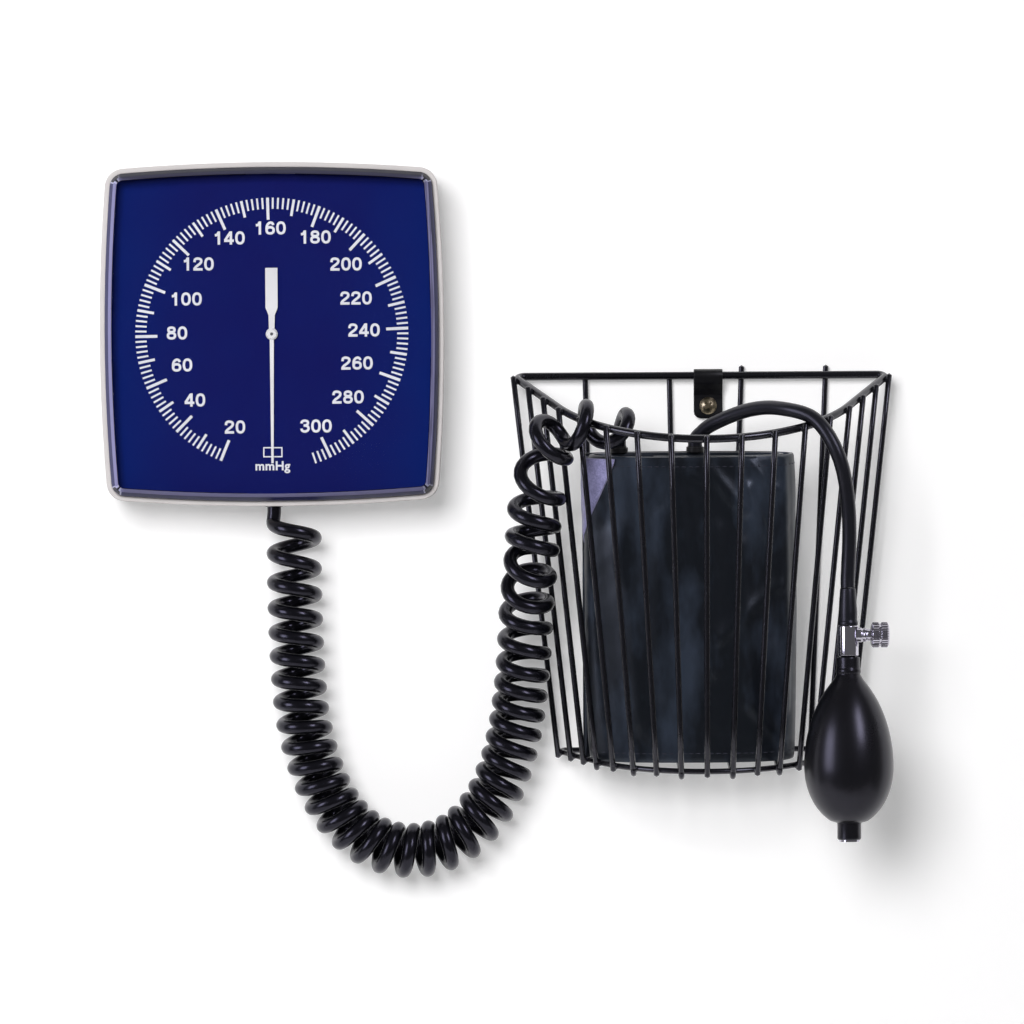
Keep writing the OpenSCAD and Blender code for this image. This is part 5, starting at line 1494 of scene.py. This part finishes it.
@dataclass
class Cuff:
    """The rolled cuff: padded sleeve, bladder, loop patch and ports."""

    roll: Roll
    layer: float = 4.2
    steps: float = 56.0
    around: int = 600
    rows: int = 80
    creases: tuple[tuple[float, float, float, float, float, float], ...] = (
        (-4, 140, 8, 134, 2.4, 1.0), (9, 141, 25, 121, 3.6, 1.6), (27, 146, 39, 130, 2.4, 1.4),
        (27, 131, 36, 108, 3.0, 1.5), (43, 146, 44, 25, 2.8, 1.6), (37, 120, 39, 60, 2.6, -1.0),
        (12, 112, 10, 45, 4.6, 1.2), (24, 104, 28, 30, 4.2, 1.3), (-13, 118, -15, 35, 5.0, 1.0),
        (14, 60, 40, 84, 3.2, 1.2), (-26, 80, -22, 15, 4.4, 1.0), (-34, 110, -25, 20, 4.0, 0.8),
        (0, 128, 4, 90, 3.6, 0.9), (30, 25, 44, 8, 3.2, 1.1), (-8, 20, 12, 12, 3.8, -0.6))

    def strip(self, name: str, first: float, last: float, low: float, high: float, half: float,
              seam: float, around: int, rows: int, folds: float = 1.0) -> bpy.types.Object:
        """A padded strip wound on the roll.

        At a share h of its height the strip is half thick times (1 - (2h - 1)^6)^0.5, and never
        thinner than the seam. Its outside carries soft folds that fade towards the edges.

        Args:
            name: the piece's name.
            first: step of the roll where it starts.
            last: step where it ends.
            low: lower edge.
            high: upper edge.
            half: half the thickness.
            seam: half thickness at the edges.
            around: columns along the roll.
            rows: rows up the height.
            folds: strength of the folds.
        Returns:
            The strip as one closed skin.
        """
        s = np.linspace(first, last, around)
        h = (1 - np.cos(np.linspace(0, math.pi, rows))) / 2 * 0.35 + np.linspace(0, 1, rows) * 0.65
        z = low + (high - low) * h
        middle, out = self.roll.point(s), self.roll.outward(s)
        run = self.roll.run(s)
        edge = np.minimum((s - first) / 0.5, (last - s) / 0.5).clip(0, 1)[:, None]
        crown = np.sqrt(np.clip(1 - np.abs(2 * h - 1) ** 6, 0, 1))[None, :]
        thick = seam + (half - seam) * crown * np.sqrt(edge)
        wave = (self.folds(s, z, run) + self.pulled(s, z)) * folds if folds else 0.0
        outer = thick + np.where(wave > 0, wave, wave * 0.5) * crown * edge if folds else thick
        sides = []
        for offset in (outer, -thick):
            flat = middle[:, None] + out[:, None] * offset[..., None]
            sides.append(self.roll.world(flat, np.broadcast_to(z, offset.shape)))
        grid = np.concatenate([sides[0], sides[1][:, ::-1]], axis=1)
        up = np.concatenate([z, z[::-1]])
        uv = np.stack([np.repeat(run[:, None], len(up), 1), np.repeat(up[None], len(run), 0)], -1) * MM
        return add_skin(name, grid, caps=True, sharp=70, uv=uv)

    def folds(self, s: Array, z: Array, run: Array) -> Array:
        """Heights of soft folds over the outside, from three sizes of rolling waves.

        They are tallest on the outer turn and near the upper right, where the cuff is squeezed.
        """
        place = np.stack([np.repeat(run[:, None], len(z), 1), np.repeat(z[None] * 0.42, len(run), 0),
                          np.zeros((len(run), len(z)))], -1)
        broad = rolling_noise(place, 58.0, 11)
        mid = rolling_noise(place * np.array([1.0, 1.5, 1.0]), 24.0, 5)
        fine = rolling_noise(place * np.array([1.0, 2.2, 1.0]), 9.0, 29)
        top = smoothstep((z[None] - 70) / 70)
        outer_turn = smoothstep((34 - s[:, None]) / 3)
        rolling = 0.35 * broad + 0.2 * mid * (0.5 + top) + 0.06 * fine * (0.4 + top)
        return rolling * (0.12 + 0.88 * outer_turn)

    def pulled(self, s: Array, z: Array) -> Array:
        """Creases across the front, and the left end eased outwards.

        A crease runs between two places (x from the roll's middle, height) and stands out by its
        height times e to the minus square of the distance over its width.
        """
        order = np.linspace(14.3, 30.0, 200)
        x = np.interp(s, order, self.roll.point(order)[:, 0])[:, None]
        front = smoothstep((s - 14.3) / 1.5) * smoothstep((30.4 - s) / 2.0)
        total = np.zeros((len(s), len(z)))
        for x0, z0, x1, z1, width, height in self.creases:
            along = np.array([x1 - x0, z1 - z0])
            share = ((x - x0) * along[0] + (z[None] - z0) * along[1]) / (along @ along)
            share = share.clip(0, 1)
            away = (x - x0 - share * along[0]) ** 2 + (z[None] - z0 - share * along[1]) ** 2
            total += height * np.exp(-away / width**2)
        end = 3.0 * np.exp(-(((s - 29.8) / 1.7) ** 2)) * smoothstep((31.6 - s) / 1.3)
        return total * front[:, None] + end[:, None] * (0.45 + 0.55 * z[None] / self.roll.height)

    def stitches(self, first: float, last: float, z: float, pace: float = 3.2) -> bpy.types.Object:
        """A row of short raised stitches along the outside of the strip."""
        s = np.linspace(first, last, 4000)
        run = self.roll.run(s)
        count = int(run[-1] / pace)
        at = np.interp((np.arange(count) + 0.5) * pace, run, s)
        middle, out = self.roll.point(at), self.roll.outward(at)
        h = z / self.roll.height
        rise = self.pulled(at, np.array([z])) + self.folds(at, np.array([z]), np.interp(at, s, run))
        crown = math.sqrt(1 - abs(2 * h - 1) ** 6)
        edge = np.minimum(at / 0.5, 1.0)[:, None]
        lift = 0.8 + (self.layer / 2 - 0.8) * crown * np.sqrt(edge)
        lift = lift + np.where(rise > 0, rise, rise * 0.5) * crown
        centre = self.roll.world(middle + out * (lift + 0.02), np.full(count, z))
        tangent = np.stack([-out[:, 1], out[:, 0]], -1)
        level = np.full(count, z)
        along, away = (self.roll.world(middle + way, level) - self.roll.world(middle, level)
                       for way in (tangent, out))
        up = np.cross(along, away)
        theta = np.linspace(0, math.pi, 5)[:, None]
        phi = np.linspace(0, 2 * math.pi, 6, endpoint=False)[None]
        x, y = np.cos(theta) * 1.15 + phi * 0, np.sin(theta) * np.cos(phi) * 0.24
        w = np.sin(theta) * np.sin(phi) * 0.3
        grid = (centre[:, None, None] + x[None, ..., None] * along[:, None, None]
                + y[None, ..., None] * away[:, None, None] + w[None, ..., None] * up[:, None, None])
        one = grid_faces(5, 6)
        faces = (one[None] + (np.arange(count) * 30)[:, None, None]).reshape(-1, 4)
        return add_mesh("stitch_row", grid.reshape(-1, 3), faces.tolist(), 80.0)

    def patch(self) -> bpy.types.Object:
        """Loop fabric sewn on the outside, its lower edge cut to a slant."""
        first, last = 26.6, 31.4
        s = np.linspace(first, last, 70)
        share = np.linspace(0, 1, 50)
        low = self.roll.height - (2 + 45 * ((s - first) / (last - first)) ** 0.85)
        z = low[:, None] + (self.roll.height - 1 - low[:, None]) * share[None]
        middle, out = self.roll.point(s), self.roll.outward(s)
        high = np.linspace(0, self.roll.height, 120)
        swell = np.maximum(self.pulled(s, high) + self.folds(s, high, self.roll.run(s)), 0)
        lift = np.stack([np.interp(z[i], high, swell[i]) for i in range(len(s))])
        edge = np.minimum(np.minimum(share, 1 - share)[None] * 12,
                          np.minimum(s - first, last - s)[:, None] * 2).clip(0, 1) ** 0.5
        sides = []
        for offset in (2.35 + lift + 0.9 * (0.3 + 0.7 * edge), 1.9 + lift * 0.6):
            sides.append(self.roll.world(middle[:, None] + out[:, None] * offset[..., None], z))
        grid = np.concatenate([sides[0], sides[1][:, ::-1]], axis=1)
        return add_skin("loop_fabric", grid, caps=True, sharp=70)

    def build(self) -> None:
        sleeve = self.strip("cuff_fabric", 0, self.steps, 0, self.roll.height, self.layer / 2, 0.8,
                            self.around, self.rows)
        dress(sleeve, Looks.NYLON)
        attach(sleeve, "cuff_nylon", "cuff_sleeve")
        bladder = self.strip("bladder_rubber", 2.2, 40.8, 8.5, self.roll.height - 8.5, 1.0, 0.3, 180, 24, 0.0)
        attach(dress(bladder, Looks.PORT), "black_rubber", "cuff_bladder")
        rows = [self.stitches(0.3, 33.0, self.roll.height - 4.5), self.stitches(0.3, 33.0, 4.5)]
        thread = dress(join("cuff_stitches", rows, 80), Looks.THREAD)
        attach(thread, "cuff_nylon")
        patch = dress(self.patch(), Looks.LOOP)
        attach(patch, "loop_patch", "cuff_loop_patch")
        carry(["tube_port", "hose_port"], Looks.PORT)
        log.info("cuff: sleeve, bladder, stitches, loop patch and two ports")


@dataclass
class HandBulb:
    """The rubber bulb, its chrome release valve and the air inlet."""

    x: float = 271.5
    y: float = -70.0
    valve_top: float = -139.7
    valve_h: float = 14.4
    valve_r: float = 4.85
    belly: float = -206.0
    radius: float = 21.0
    shoulder: float = 44.4
    below: float = 27.9
    neck: float = 5.7
    foot_drop: float = 26.7

    def egg(self, z: Array) -> Array:
        """Radius of the bulb: an ellipse below its widest place, and above it a longer, more
        pointed one, (1 - t^2)^0.65 at a share t of the way up; the fourth root of the sum of
        fourth powers runs it smoothly into its neck."""
        high = z > self.belly
        t = np.clip(1 - ((z - self.belly) / np.where(high, self.shoulder, self.below)) ** 2, 0, 1)
        egg = self.radius * t ** np.where(high, 0.65, 0.5)
        return (egg**4 + self.neck**4) ** 0.25

    def build_bulb(self) -> None:
        """Bulb with its neck, soft ring and foot collar, hollow as the real one."""
        low = self.valve_top - self.valve_h
        top, foot = low - 9, self.belly - self.foot_drop
        z = top + (foot - top) * (np.arange(1, 65) / 65.0)
        collar = soften([(5.2, low - 0.1), (5.5, low - 0.9), (5.5, low - 5.6), (5.95, low - 6.4),
                         (5.95, low - 7.6), (5.6, low - 8.3), (5.75, top - 0.2)], 0.5)
        shell = [(3.35, low - 0.1), *collar[5:], *zip(self.egg(z), z)]
        shell += [(5.75, foot + 0.25), (5.6, foot - 0.4), (5.6, -239.8), (5.1, -240.4), (4.05, -240.4),
                  (4.05, foot + 2)]
        inner = z[::-1][2:-3]
        shell += list(zip(np.maximum(4.05, self.egg(inner) - 2.4), inner)) + [(3.35, top - 2.5)]
        bulb = revolve("bulb_shell", shell, (self.x, self.y, 0), (0, 0, 1), 96, 35)
        attach(dress(bulb, Looks.BULB), "black_rubber", "rubber_bulb")

    def build_sleeve(self) -> None:
        """Hose end stretched over the barb, with a rolled lip."""
        t = self.valve_top
        outline = soften([(2.15, t + 0.1), (4.7, t + 0.1), (4.7, t + 1.6), (4.35, t + 2.4), (4.45, t + 6),
                          (4.05, t + 12), (3.6, -122.1), (1.2, -122.1), (1.2, t + 9.1), (2.15, t + 9.1)], 0.5)
        sleeve = revolve("hose_end_rubber", outline, (self.x, self.y, 0), (0, 0, 1), 64, 40)
        attach(dress(sleeve, Looks.HOSE), "black_rubber", "hose_end_sleeve")

    def build_valve(self) -> None:
        """Turned valve body with its side stub, and the knurled knob."""
        top, low, r = self.valve_top, self.valve_top - self.valve_h, self.valve_r
        outline = soften([(0.9, low - 8.6), (3.3, low - 8.6), (3.3, low), (r - 0.4, low), (r, low + 0.4),
                          (r, top - 0.4), (r - 0.4, top), (2.1, top), (2.1, top + 8.2), (1.4, top + 9),
                          (0.9, top + 9)], 0.2, 3)
        body = revolve("body", outline, (self.x, self.y, 0), (0, 0, 1), 64, 30)
        z = top - 4.5
        outline = soften([(1.45, 2.4), (3.5, 2.4), (3.5, 6.2), (3.15, 6.6), (3.15, 7.2), (3.4, 7.6),
                          (3.4, 8.3), (2.9, 9.0), (2.9, 10.6), (1.45, 10.6)], 0.2, 3)
        stub = revolve("stub", outline, (self.x, self.y, z), (1, 0, 0), 48, 30)
        valve = dress(join("valve_body_chrome", [body, stub], 30), Looks.CHROME)
        attach(valve, "chrome", "release_valve_body")
        self.build_knob(z)
        carry(["end_valve_body"], Looks.CHROME)
        carry(["valve_needle", "outlet_ball", "end_valve_ball"], Looks.STEEL)
        carry(["end_valve_filter"], Looks.FELT)

    def build_knob(self, z: float) -> None:
        """Knob with two knurled bands: radius drops by 0.45 mm in 30 rounded grooves a turn."""
        rows = [(1.45, 0.0, 0), (4.6, 0.0, 0), (5.2, 0.3, 0), (5.45, 0.6, 0), (5.5, 0.62, 0.3),
                (6.0, 0.95, 1), (6.0, 3.55, 1), (5.5, 3.82, 0.3), (5.35, 3.9, 0), (5.35, 4.7, 0),
                (5.5, 4.78, 0.3), (6.0, 5.05, 1), (6.0, 7.65, 1), (5.5, 7.95, 0.3), (5.3, 8.15, 0),
                (4.4, 8.6, 0), (0.0, 8.6, 0)]
        r, h, knurl = (np.array(column)[:, None] for column in zip(*rows))
        turn = np.linspace(0, 2 * math.pi, 240, endpoint=False)[None]
        groove = np.clip(0.5 + 0.9 * np.cos(30 * turn), 0, 1)
        radius = r - 0.45 * knurl * (1 - groove)
        x0 = self.x + 10.7
        hole = np.array([[1.45, 6.0], [0.0, 6.0]])
        grid = np.stack([np.broadcast_to(x0 + h, radius.shape), self.y + radius * np.cos(turn),
                         z + radius * np.sin(turn)], -1)
        bore = np.stack([np.broadcast_to(x0 + hole[:, 1:], (2, 240)), self.y + hole[:, :1] * np.cos(turn),
                         z + hole[:, :1] * np.sin(turn)], -1)
        knob = add_skin("knob_chrome", np.concatenate([bore[::-1], grid]), sharp=28)
        attach(dress(knob, Looks.CHROME), "chrome", "valve_knob", body="knob")

    def build(self) -> None:
        """Builds bulb, hose end, valve and knob."""
        self.build_bulb()
        self.build_sleeve()
        self.build_valve()
        log.info("hand bulb: shell, hose end, valve body, knurled knob and inlet valve")


# Studio


@dataclass
class Studio:
    """White wall, pale floor, soft lights and the camera at the picture's angle; metres."""

    camera_at: tuple[float, float, float] = (0.11385, -3.0, -0.0854)
    lens: float = 219.1
    roll: float = 0.0061
    floor_z: float = -0.9
    dim: float = 0.13

    def camera(self) -> None:
        """Looks along +y with a long lens and a slight roll."""
        lens = bpy.data.cameras.new("camera")
        lens.lens, lens.sensor_width, lens.sensor_fit = self.lens, 36.0, "HORIZONTAL"
        lens.clip_end = 50.0
        eye = bpy.data.objects.new("camera", lens)
        eye.location = self.camera_at
        eye.rotation_euler = (math.pi / 2, self.roll, 0.0)
        bpy.context.scene.collection.objects.link(eye)
        bpy.context.scene.camera = eye

    def white(self, name: str, lit: float, glow: float) -> bpy.types.Material:
        """White paint seen as white by the camera and by gloss, still taking shadows.

        Args:
            name: the material's name.
            lit: diffuse colour.
            glow: strength of the extra white that the camera and gloss see.
        Returns:
            The material; its back faces are clear.
        """
        s = Shade(name)
        path = s.node("ShaderNodeLightPath", {}, {}, "Is Camera Ray")
        gloss = s.node("ShaderNodeLightPath", {}, {}, "Is Glossy Ray")
        through = s.node("ShaderNodeLightPath", {}, {}, "Is Transmission Ray")
        seen = s.maths("MAXIMUM", s.maths("MAXIMUM", path, gloss), through)
        diffuse = s.node("ShaderNodeBsdfDiffuse", {}, {"Color": (lit, lit, lit)})
        bright = s.node("ShaderNodeEmission", {}, {"Color": (1.0, 1.0, 1.0), "Strength": seen * glow})
        front = s.node("ShaderNodeAddShader", {}, {0: diffuse, 1: bright})
        clear = s.node("ShaderNodeBsdfTransparent", {}, {})
        behind = s.node("ShaderNodeNewGeometry", {}, {}, "Backfacing")
        both = s.node("ShaderNodeMixShader", {}, {0: behind, 1: front, 2: clear})
        s.tree.links.new(both.socket, s.output.inputs[0])
        s.tree.nodes.remove(s.shader)
        return s.material

    def backdrop(self) -> None:
        """One wall behind the object and one pale floor below it."""
        wide, near, wall, z = 1.6, -0.9, 0.0005, self.floor_z
        plans = {"studio_wall": ([(-wide, wall, z), (wide, wall, z), (wide, wall, 1.6), (-wide, wall, 1.6)],
                                 0.8, 0.29),
                 "studio_floor": ([(-wide, wall, z), (-wide, near, z), (wide, near, z), (wide, wall, z)],
                                  0.7, 0.3)}
        for name, (corners, lit, glow) in plans.items():
            mesh = bpy.data.meshes.new(name)
            mesh.from_pydata(corners, [], [(0, 1, 2, 3)])
            mesh.materials.append(self.white(name, lit, glow))
            piece = bpy.data.objects.new(name, mesh)
            bpy.context.scene.collection.objects.link(piece)

    def lamp(self, name: str, at: Sequence[float], size: tuple[float, float], watts: float, colour: Colour,
             gloss: bool) -> None:
        """A soft light aimed at the object's middle.

        Args:
            name: the lamp's name.
            at: its place.
            size: its width and height.
            watts: its power.
            colour: its tint.
            gloss: seen only as highlights if true, and only as plain light if false.
        """
        light = bpy.data.lights.new(name, "AREA")
        light.shape, light.size, light.size_y = "RECTANGLE", size[0], size[1]
        light.energy, light.color = watts, colour
        piece = bpy.data.objects.new(name, light)
        piece.location = at
        piece.visible_glossy, piece.visible_diffuse = gloss, not gloss
        aim = Vector((0.12, -0.03, -0.1)) - Vector(at)
        piece.rotation_euler = aim.to_track_quat("-Z", "Y").to_euler()
        bpy.context.scene.collection.objects.link(piece)

    def surround(self) -> None:
        """World that is white to the camera and dim as a light."""
        world = bpy.data.worlds.new("world")
        world.use_nodes = True
        tree = world.node_tree
        seen = tree.nodes.new("ShaderNodeLightPath")
        level = tree.nodes.new("ShaderNodeMapRange")
        level.inputs["To Min"].default_value, level.inputs["To Max"].default_value = self.dim, 1.0
        tree.links.new(seen.outputs["Is Camera Ray"], level.inputs["Value"])
        tree.links.new(level.outputs[0], tree.nodes["Background"].inputs[1])
        tree.nodes["Background"].inputs[0].default_value = (1.0, 1.0, 1.0, 1.0)
        bpy.context.scene.world = world

    def build(self) -> None:
        """Sets the stage, lights and the plain view transform."""
        self.backdrop()
        self.lamp("key", (-0.5, -2.3, 0.62), (1.1, 1.1), 55.0, (1.0, 0.99, 1.0), gloss=False)
        self.lamp("left_strip", (-1.75, -1.45, 0.25), (0.95, 1.3), 20.0, (0.86, 0.86, 1.0), gloss=True)
        self.lamp("right_strip", (1.35, -1.75, 1.0), (0.6, 1.0), 17.0, (0.88, 0.87, 1.0), gloss=True)
        self.surround()
        bpy.context.scene.view_settings.view_transform = "Standard"
        log.info("studio: wall, floor, three soft lights")


def main() -> None:
    """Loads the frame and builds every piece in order."""
    logging.basicConfig(level=logging.INFO, format="%(name)s: %(message)s")
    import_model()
    studio = Studio()
    studio.camera()
    roll = Roll()
    CurledTube(roll).build()
    Hose(roll).build()
    GaugeCase().build()
    Dial().build()
    Movement().build()
    Basket().build()
    Cuff(roll).build()
    HandBulb().build()
    studio.build()


if __name__ == "__main__":
    main()
